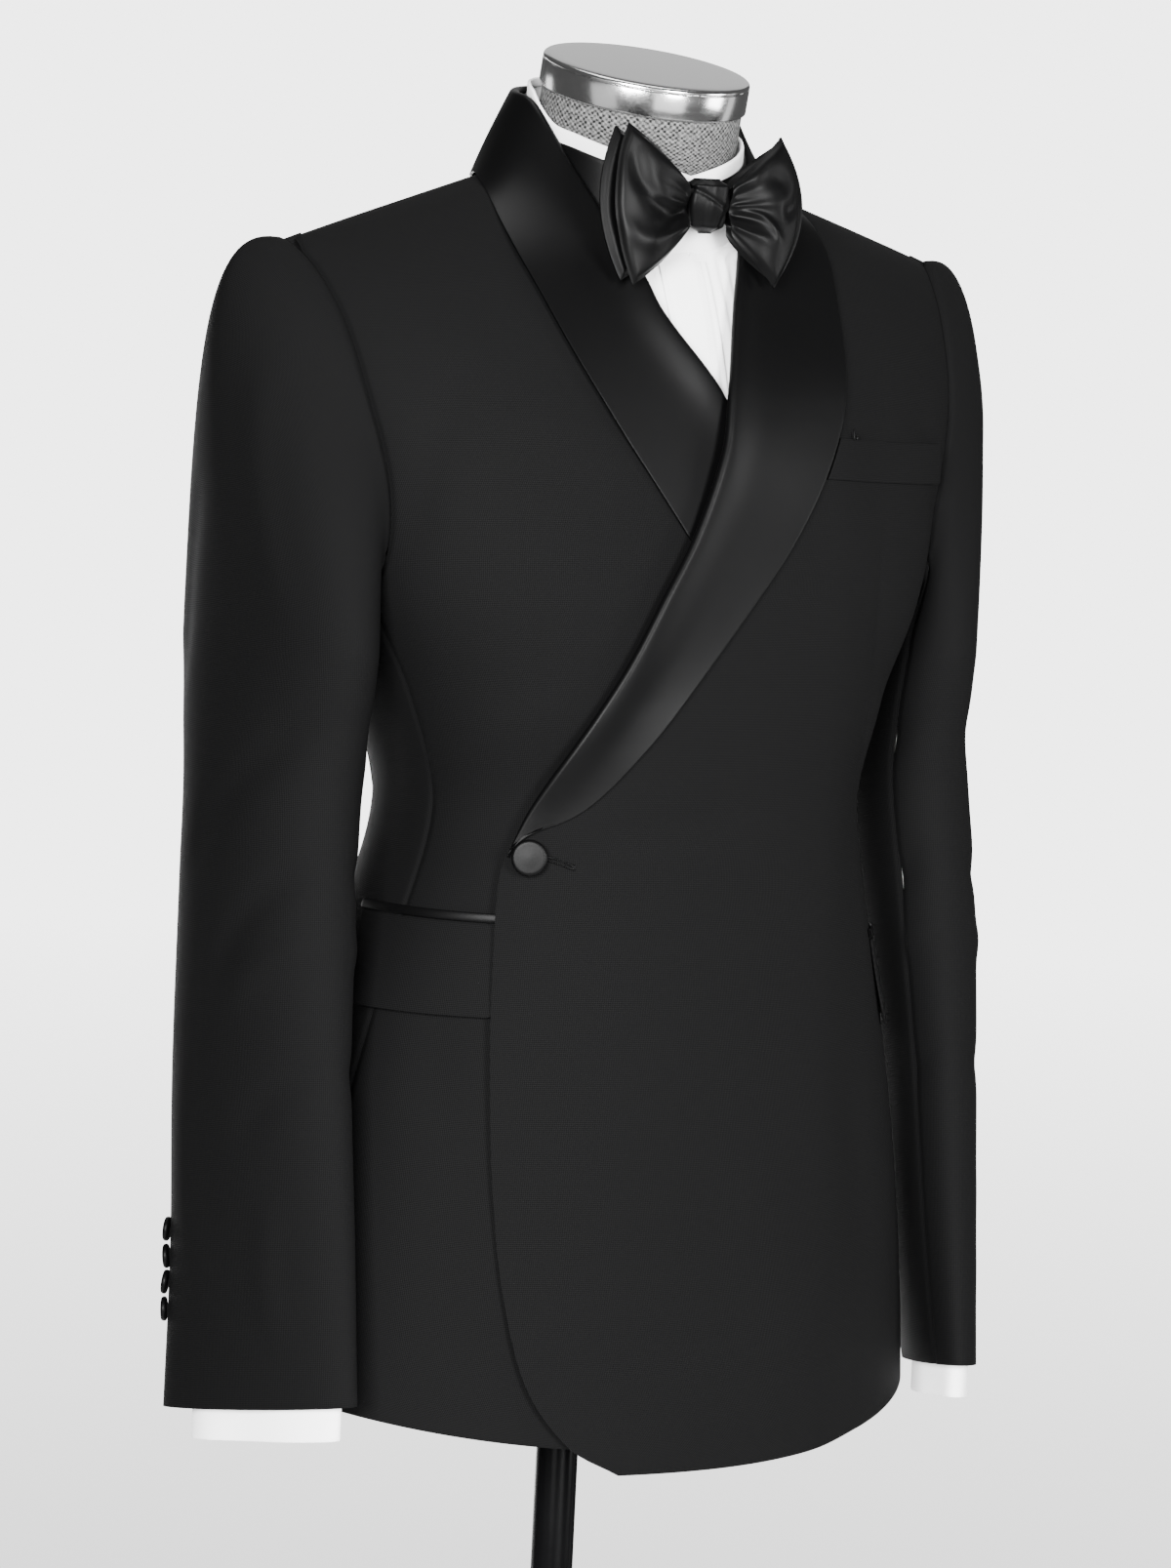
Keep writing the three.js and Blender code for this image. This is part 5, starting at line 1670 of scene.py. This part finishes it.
    def cuff(self, side: Side) -> None:
        """Builds one cuff, a little wavy at its edge."""
        across, along = unit_square(96, 20)
        turn = 2 * math.pi * across
        height = mix(self.cuff_top, self.cuff_end, along)
        wave = np.sin(3 * turn + 0.6) + 0.6 * np.sin(5 * turn + 2.1)
        grid = Grid(self.cuff_ring(turn, height, 1.5 * wave * along)).mirrored(side)
        node = f"shirt_{side.word}_cuff"
        inside = (side.value * 229, -45, 825)
        sew_sheet(
            node, grid, inside, 1.6, COTTON, Hold.FOLDED, f"shirt_{side.word}_sleeve_cotton", closed=True
        )

    def neck_ring(self, radius: float, drop: float, height: float, fold: float, deeper: float = 0) -> Grid:
        """A band round the neck whose top edge is folded inwards.

        Args:
            radius: its outer radius.
            drop: how far its top lies under the shirt collar's top.
            height: its greatest height.
            fold: radius of the folded top edge.
            deeper: how much higher it is at the sides and the back.

        Returns:
            The grid from the foot up and over the fold.
        """
        across, along = unit_square(140, 20)
        angle = 360 * across
        folded = np.where(angle > 180, 360 - angle, angle)
        top = self.COLLAR.at("top", folded) - drop
        deep = height + deeper * ease(18, 45, folded)
        foot = np.maximum(self.COLLAR.at("foot", folded), top - deep)
        rise = np.clip(along / 0.7, 0, 1)
        bend = math.pi * np.clip((along - 0.7) / 0.2, 0, 1)
        inner = np.clip((along - 0.9) / 0.1, 0, 1)
        reach = radius - fold * (1 - np.cos(bend))
        z = mix(foot, top - fold, rise) + fold * np.sin(bend) - 4 * inner
        x = reach * np.sin(angle * DEGREE)
        return Grid(stack(x, self.neck_middle_y - reach * np.cos(angle * DEGREE), z))

    def collar(self) -> None:
        """Builds the shirt collar."""
        grid = self.neck_ring(self.neck_radius, 0, 60, 1.1)
        inside = (0, self.neck_middle_y, 1520)
        sew_sheet("shirt_collar", grid, inside, 0.8, COTTON, Hold.FOLDED, "dress_form_linen", closed=True)

    def build(self) -> None:
        """Builds the whole shirt."""
        for side in Side:
            self.front(side)
            self.sleeve(side)
            self.cuff(side)
        self.placket()
        self.back()
        self.collar()


@dataclass
class BowTie:
    """The satin bow tie: neckband, two leaves on each side, and the knot."""

    shirt: Shirt
    x: float = 1.5
    y: float = -94.4
    z: float = 1490
    root_height: float = 30
    root_reach: float = 14
    knot_half_width: float = 13.6
    knot_half_depth: float = 11.5
    knot_height: float = 31
    knot_lift: float = 1.5
    satin: float = 1.5

    END_HEIGHT = {Side.RIGHT: 91, Side.LEFT: 86}
    SPAN = {Side.RIGHT: 58.5, Side.LEFT: 53}
    ROUND = {Side.RIGHT: 0.74, Side.LEFT: 1.1}
    LEAN = {Side.RIGHT: 0.0, Side.LEFT: 0.16}
    FOLDS = ((0.22, 0.05, 2.4), (0.4, 0.06, -2.0), (0.56, 0.045, 2.6), (0.74, 0.06, -1.8), (0.88, 0.05, 1.6))
    DENTS = {
        Side.RIGHT: (
            (0.86, 0.84, 0.3, 0.42, 0.1, -3.2),
            (0.5, 0.3, 0.05, 0.48, 0.07, -2.2),
            (0.9, 0.35, 0.55, 0.2, 0.08, 1.4),
        ),
        Side.LEFT: (
            (0.1, 0.5, 0.62, 0.3, 0.045, 2.0),
            (0.95, 0.62, 0.7, 0.5, 0.07, -2.0),
            (0.4, 0.85, 0.75, 0.7, 0.09, -1.6),
        ),
    }

    @staticmethod
    def dent(
        across: Array, up: Array, start_a: float, start_u: float, end_a: float, end_u: float,
        width: float, rise: float,
    ) -> Array:
        """Lift of one trough or fold between two places of a leaf.

        Args:
            across: places from the knot to the leaf's end.
            up: places from the leaf's bottom to its top.
            start_a: where it starts, across.
            start_u: where it starts, up.
            end_a: where it ends, across.
            end_u: where it ends, up.
            width: its half width as a share of the leaf.
            rise: its height in millimetres, less than 0 for a trough.

        Returns:
            The lift for each place.
        """
        line_a, line_u = end_a - start_a, end_u - start_u
        length = math.hypot(line_a, line_u)
        share = ((across - start_a) * line_a + (up - start_u) * line_u) / length**2
        off = ((across - start_a) * line_u - (up - start_u) * line_a) / length
        off = off + 0.07 * length * np.sin(math.pi * np.clip(share, 0, 1))
        fade = ease(-0.3, 0.3, share) * (1 - ease(0.75, 1.3, share))
        return rise * fade * np.exp(-((off / width) ** 2))

    def leaf(self, side: Side, front: bool) -> None:
        """Builds one leaf, pleated at the knot and rolled at its outer edges."""
        lean_y, shift, belly = (-3.5, 0, 8) if front else (2, 4.4, -1)
        across, up = unit_square(64, 72)
        tall = up - 0.5
        end_height = self.END_HEIGHT[side] - (0 if front else 5)
        height = mix(self.root_height, end_height, across**0.85)
        curve = 1.12 - self.ROUND[side] * tall * tall + self.LEAN[side] * tall
        reach = mix(self.root_reach, (self.SPAN[side] + shift) * curve, across)
        pinch = 2 * np.sin(3 * math.pi * up) * (1 - across)
        bulge = belly * np.sin(math.pi * across) * (1 - 2 * tall * tall)
        folds = sum(
            rise * np.exp(-(((up - middle - 0.03 * across) / (width * (0.7 + across))) ** 2))
            for middle, width, rise in self.FOLDS
        )
        fade = (1 - across) ** 1.3 * ease(0, 0.08, across)
        dents = sum(self.dent(across, up, *dent) for dent in self.DENTS[side]) if front else 0
        y = self.y + lean_y - across * (5 - 13 * tall) - pinch - bulge - 0.8 * folds * fade - dents
        rise = 1.6 * across if side is Side.RIGHT else 0
        points = stack(self.x + side.value * reach, y, self.z + height * tall + rise)
        grid = Grid(points)
        if np.sum(grid.normals()[..., 1]) > 0:
            grid = Grid(points[:, ::-1])
            grid = grid.turned_edges(2.6, 2.6, "lbt")
        else:
            grid = grid.turned_edges(2.6, 2.6, "rbt")
        order = "front" if front else "back"
        node = f"bow_{side.word}_{order}_wing"
        inside = (self.x, 40, self.z)
        sew_sheet(
            node, grid, inside, self.satin, SATIN, Hold.FOLDED, "bow_knot_satin", grain_turn=12 * side.value
        )

    def knot(self) -> None:
        """Builds the knot as a wrapped tube with soft upright folds."""
        across, along = unit_square(96, 48)
        angle = 2 * math.pi * across
        twist = angle + 0.5 * (along - 0.5)
        folds = 0.055 * np.sin(5 * twist + 1.1) + 0.035 * np.sin(8 * twist - 0.6)
        wrap = 0.07 * np.exp(-(((along - 0.6 + 0.24 * np.cos(angle)) / 0.05) ** 2))
        end = np.minimum(along, 1 - along)
        rolled = 0.42 * (1 - ease(0, 0.14, end))
        taper = 0.3 * (1 - ease(0, 0.6, along))
        size = 1 + folds * ease(0, 0.12, end) - wrap - rolled - taper
        x = self.x + self.knot_half_width * size * np.cos(angle)
        y = self.y + 1 - self.knot_half_depth * size * np.sin(angle)
        z = self.z + self.knot_lift + self.knot_height * (along - 0.5)
        grid = Grid(stack(x, y, z))
        sew_sheet(
            "bow_knot", grid, (self.x, self.y + 1, self.z), 1.2, SATIN, Hold.FOLDED,
            "bow_neckband_satin", closed=True
        )

    def band(self) -> None:
        """Builds the neckband."""
        grid = self.shirt.neck_ring(self.shirt.neck_radius + 1.5, 8, 20, 0.7, 16)
        inside = (0, self.shirt.neck_middle_y, 1520)
        sew_sheet(
            "bow_neckband", grid, inside, 0.8, SATIN, Hold.STRETCHED, "shirt_collar_cotton", closed=True
        )

    def build(self) -> None:
        """Builds the whole bow tie."""
        self.band()
        for side in Side:
            self.leaf(side, True)
            self.leaf(side, False)
        self.knot()


@dataclass
class DressForm:
    """The linen-covered form with its steel neck cap."""

    inset: float = 16
    bottom: float = 858
    cap_radius: float = 60
    cap_height: float = 18.5
    cap_y: float = -27
    cap_z: float = 1569
    cap_tilt: float = 12.8
    seam_angle: float = -15 * DEGREE

    UPPER = (
        (1320, 172, -7, 106, 2.4),
        (1380, 168, -5, 93, 2.3),
        (1420, 154, -4, 80, 2.2),
        (1446, 128, -6, 69, 2.1),
        (1466, 92, -9, 62, 2.0),
        (1484, 65, -12, 57.5, 2.0),
        (1500, 58.5, -15, 57, 2.0),
        (1515, 58, -17, 57.5, 2.0),
        (1550.5, 58, -22.8, 58, 2.0),
    )

    def sections(self) -> Table:
        """The form's level sections, inset from the jacket's below the chest."""
        rows = []
        for height in (self.bottom, 910, 985, 1060, 1110, 1150, 1185, 1220, 1262):
            level = np.array(float(height))
            rows.append((
                height,
                float(BODY.at("half_width", level)) - self.inset,
                float(BODY.at("middle", level)),
                float(BODY.at("half_depth", level)) - self.inset,
                float(BODY.at("square", level)),
            ))
        columns = ("height", "half_width", "middle", "half_depth", "square")
        return Table(columns, *rows, *self.UPPER)

    def form(self) -> None:
        """Builds the padded torso and neck with their upright seam."""
        table = self.sections()
        across, along = unit_square(108, 140)
        angle = 2 * math.pi * across
        height = mix(self.bottom, 1550.5, along)
        tilt = self.cap_tilt * ease(1484, 1550, height) * DEGREE
        power = 2 / table.at("square", height)
        off = np.abs((angle - self.seam_angle + math.pi) % (2 * math.pi) - math.pi)
        seam = 0.7 * np.exp(-((off * 60 / 1.6) ** 2))
        ahead = (table.at("half_depth", height) - seam) * signed_power(np.cos(angle), power)
        x = (table.at("half_width", height) - seam) * signed_power(np.sin(angle), power)
        y = table.at("middle", height) - ahead * np.cos(tilt)
        grid = Grid(stack(x, y, height - ahead * np.sin(tilt)))
        piece = cloth_mesh("dress_form_linen", grid, Vector((0, -10, 1200)), 0.0, closed=True)
        piece.modifiers.clear()
        bm = bmesh.new()
        bm.from_mesh(piece.data)
        rims = [edge for edge in bm.edges if edge.is_boundary]
        bmesh.ops.holes_fill(bm, edges=rims, sides=0)
        bmesh.ops.recalc_face_normals(bm, faces=bm.faces)
        bm.to_mesh(piece.data)
        bm.free()
        place_piece(piece, LINEN, "dress_form")

    def cap(self) -> None:
        """Builds the neck cap: a brushed disc with a rounded rim and a thin groove under it."""
        radius, half = self.cap_radius, self.cap_height / 2
        profile = [
            (0, -half), (radius - 1.2, -half), (radius, -half + 1.2), (radius, half - 3.4),
            (radius - 0.7, half - 3.1), (radius - 0.7, half - 2.6), (radius, half - 2.3),
            (radius - 0.3, half - 1.1), (radius - 1.2, half - 0.3), (radius - 2.6, half),
            (radius - 9, half + 0.25), (0, half + 0.8),
        ]
        bm = turned_bmesh(profile, 128)
        tilt = self.cap_tilt * DEGREE
        seat = Vector((0, self.cap_y + half * math.sin(tilt), self.cap_z - half * math.cos(tilt))) * MM
        place = Matrix.Translation(seat) @ Matrix.Rotation(tilt, 4, "X")
        bmesh.ops.transform(bm, matrix=place, verts=bm.verts)
        piece = new_object("neck_cap_steel", bm)
        soften(piece, 0.3, 2, 20)
        place_piece(piece, STEEL, "neck_cap")

    def build(self) -> None:
        """Builds the form and its cap."""
        self.form()
        self.cap()


@dataclass
class Stand:
    """The lacquered pole, flange, foot and round base plate."""

    pole_radius: float = 12.3
    base_radius: float = 180
    base_height: float = 10
    form_bottom: float = 858

    def piece(self, node: str, profile: list[tuple[float, float]], rim: float) -> None:
        """Builds one turned piece with rounded rims."""
        piece = new_object(f"{node}_lacquer", turned_bmesh(profile, 96))
        soften(piece, rim)
        place_piece(piece, LACQUER, node)

    def build(self) -> None:
        """Builds the four pieces of the stand."""
        radius, height, pole = self.base_radius, self.base_height, self.pole_radius
        top = self.form_bottom - 12.4
        low = height + 0.3
        rim = [(radius, height - 4), (radius - 2, height - 1), (radius - 6, height)]
        self.piece("base_plate", [(0, 0), (radius, 0), *rim, (0, height)], 0.8)
        self.piece(
            "pole_foot",
            [
                (pole + 0.4, low), (34, low), (34, height + 4), (25, height + 8), (19, height + 14),
                (16, height + 26), (pole + 0.4, height + 26), (pole + 0.4, low),
            ],
            0.8,
        )
        self.piece("stand_pole", [(0, low), (pole, low), (pole, top), (0, top)], 0.8)
        self.piece(
            "pole_flange",
            [
                (0, top + 0.3), (30, top + 0.3), (45, top + 5), (45, self.form_bottom - 0.3),
                (0, self.form_bottom - 0.3),
            ],
            0.8,
        )


@dataclass
class Studio:
    """The camera, the soft lights and the pale floor."""

    turn: float = 32 * DEGREE
    distance: float = 3900
    eye_height: float = 1525
    focal: float = 1.77 * 3900
    frame_width: float = 1200
    frame_height: float = 1607
    horizon_row: float = 145
    axis_column: float = 603
    roll: float = 2.7 * DEGREE
    sensor: float = 36
    backdrop: float = 4.2
    floor_glow: float = 1.7
    ambient: float = 0.12
    floor_radius: float = 9.0
    fade_from: float = 0.7
    fade_to: float = 2.6

    def camera(self) -> None:
        """Makes the camera at the photograph's angle."""
        pitch = math.atan((self.frame_height / 2 - self.horizon_row) / self.focal)
        heading = self.turn + (self.frame_width / 2 - self.axis_column) / self.focal
        look = Vector((
            math.sin(heading) * math.cos(pitch),
            math.cos(heading) * math.cos(pitch),
            -math.sin(pitch),
        ))
        right = Vector((math.cos(heading), -math.sin(heading), 0))
        up = right.cross(look)
        across = math.cos(self.roll) * right + math.sin(self.roll) * up
        upright = -math.sin(self.roll) * right + math.cos(self.roll) * up
        data = bpy.data.cameras.new("camera")
        data.sensor_width = self.sensor
        data.lens = self.focal / self.frame_height * self.sensor
        camera = bpy.data.objects.new("camera", data)
        place = Matrix((across, upright, -look)).transposed().to_4x4()
        spot = Vector((
            -self.distance * math.sin(self.turn),
            -self.distance * math.cos(self.turn),
            self.eye_height,
        ))
        place.translation = spot * MM
        camera.matrix_world = place
        bpy.context.scene.collection.objects.link(camera)
        bpy.context.scene.camera = camera

    def light(self, name: str, spot: tuple, aim: tuple, size: tuple, power: float) -> None:
        """Adds one rectangular area light aimed at a place, in metres and watts."""
        data = bpy.data.lights.new(name, "AREA")
        data.shape = "RECTANGLE"
        data.size, data.size_y = size
        data.energy = power
        lamp = bpy.data.objects.new(name, data)
        lamp.location = spot
        lamp.rotation_euler = (Vector(aim) - Vector(spot)).to_track_quat("-Z", "Y").to_euler()
        bpy.context.scene.collection.objects.link(lamp)

    def world(self) -> None:
        """Sets a bright backdrop for the camera and a softer light for everything else."""
        world = bpy.data.worlds.new("studio")
        world.use_nodes = True
        nodes = Nodes(world.node_tree)
        seen = nodes.add("ShaderNodeLightPath").outputs["Is Camera Ray"]
        strength = nodes.grade(seen, self.ambient, self.backdrop)
        background = world.node_tree.nodes["Background"]
        background.inputs["Color"].default_value = (1, 1, 1, 1)
        world.node_tree.links.new(strength, background.inputs["Strength"])
        bpy.context.scene.world = world

    def floor(self) -> None:
        """Lays a pale round floor that fades into the backdrop far from the stand."""
        bm = bmesh.new()
        bmesh.ops.create_circle(bm, cap_ends=True, segments=96, radius=self.floor_radius)
        piece = new_object("floor", bm)
        material = bpy.data.materials.new("pale floor")
        material.use_nodes = True
        nodes = Nodes(material.node_tree)
        shader = material.node_tree.nodes["Principled BSDF"]
        output = material.node_tree.nodes["Material Output"]
        place = nodes.add("ShaderNodeTexCoord").outputs["Object"]
        far = nodes.add("ShaderNodeVectorMath", {"operation": "LENGTH"}, _0=place).outputs["Value"]
        smooth = {"interpolation_type": "SMOOTHSTEP"}
        fade = nodes.add("ShaderNodeMapRange", smooth, _0=far, _1=self.fade_from, _2=self.fade_to)
        speck = nodes.add("ShaderNodeTexNoise", None, Vector=place, Scale=60.0, Detail=4.0).outputs[0]
        colour = nodes.colour(speck, (0.76, 0.76, 0.76), (0.8, 0.8, 0.8))
        material.node_tree.links.new(colour, shader.inputs["Base Color"])
        shader.inputs["Roughness"].default_value = 0.9
        seen = nodes.add("ShaderNodeLightPath").outputs["Is Camera Ray"]
        bright = nodes.add(
            "ShaderNodeMapRange",
            None,
            _0=far,
            _1=self.fade_to,
            _2=self.floor_radius,
            _3=self.floor_glow,
            _4=self.backdrop,
        ).outputs[0]
        strength = nodes.add("ShaderNodeMapRange", None, _0=seen, _3=self.ambient, _4=bright).outputs[0]
        glow = nodes.add("ShaderNodeEmission", None, Color=(1, 1, 1, 1), Strength=strength)
        surface = shader.outputs[0]
        blend = nodes.add("ShaderNodeMixShader", None, _0=fade.outputs[0], _1=surface, _2=glow.outputs[0])
        material.node_tree.links.new(blend.outputs[0], output.inputs["Surface"])
        piece.data.materials.append(material)

    def build(self) -> None:
        """Sets the whole studio."""
        self.camera()
        self.world()
        self.floor()
        middle = (0, 0, 1.2)
        self.light("key softbox", (-2.9, -3.1, 2.1), middle, (1.6, 1.6), 840)
        self.light("front fill", (0.2, -4.0, 1.9), middle, (1.2, 1.8), 430)
        self.light("left front softbox", (2.9, -2.1, 1.45), (0, 0, 1.3), (1.2, 1.6), 105)
        self.light("top softbox", (0.3, 0.4, 4.3), middle, (1.8, 1.8), 75)
        self.light("right tall strip", (-3.0, -0.7, 0.5), (0, 0, 0.8), (1.6, 2.4), 12)
        self.light("front tall strip", (-0.1, -3.1, 0.5), (0, 0, 0.8), (2.0, 2.4), 36)
        self.light("left tall strip", (3.0, -0.5, 0.5), (0, 0, 0.8), (0.6, 2.4), 6)
        self.light("back tall strip", (-1.0, 2.9, 0.5), (0, 0, 0.8), (0.8, 2.4), 18)
        self.light("low back fill", (0.7, 3.6, 0.75), (0, 0, 1.1), (2.4, 1.2), 100)
        self.light("back softbox", (2.1, 3.4, 3.0), middle, (2.6, 1.6), 10)


def main() -> None:
    """Builds the studio and the tuxedo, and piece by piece."""
    logging.basicConfig(level=logging.INFO, format="%(message)s")
    Studio().build()
    body = JacketBody()
    sleeves = Sleeves()
    shirt = Shirt(sleeves)
    for part in (
        body,
        sleeves,
        ShawlCollar(body),
        Pockets(body),
        Buttons(body, sleeves),
        shirt,
        BowTie(shirt),
        DressForm(),
        Stand(),
    ):
        log.info("%s", type(part).__name__)
        part.build()


if __name__ == "__main__":
    main()
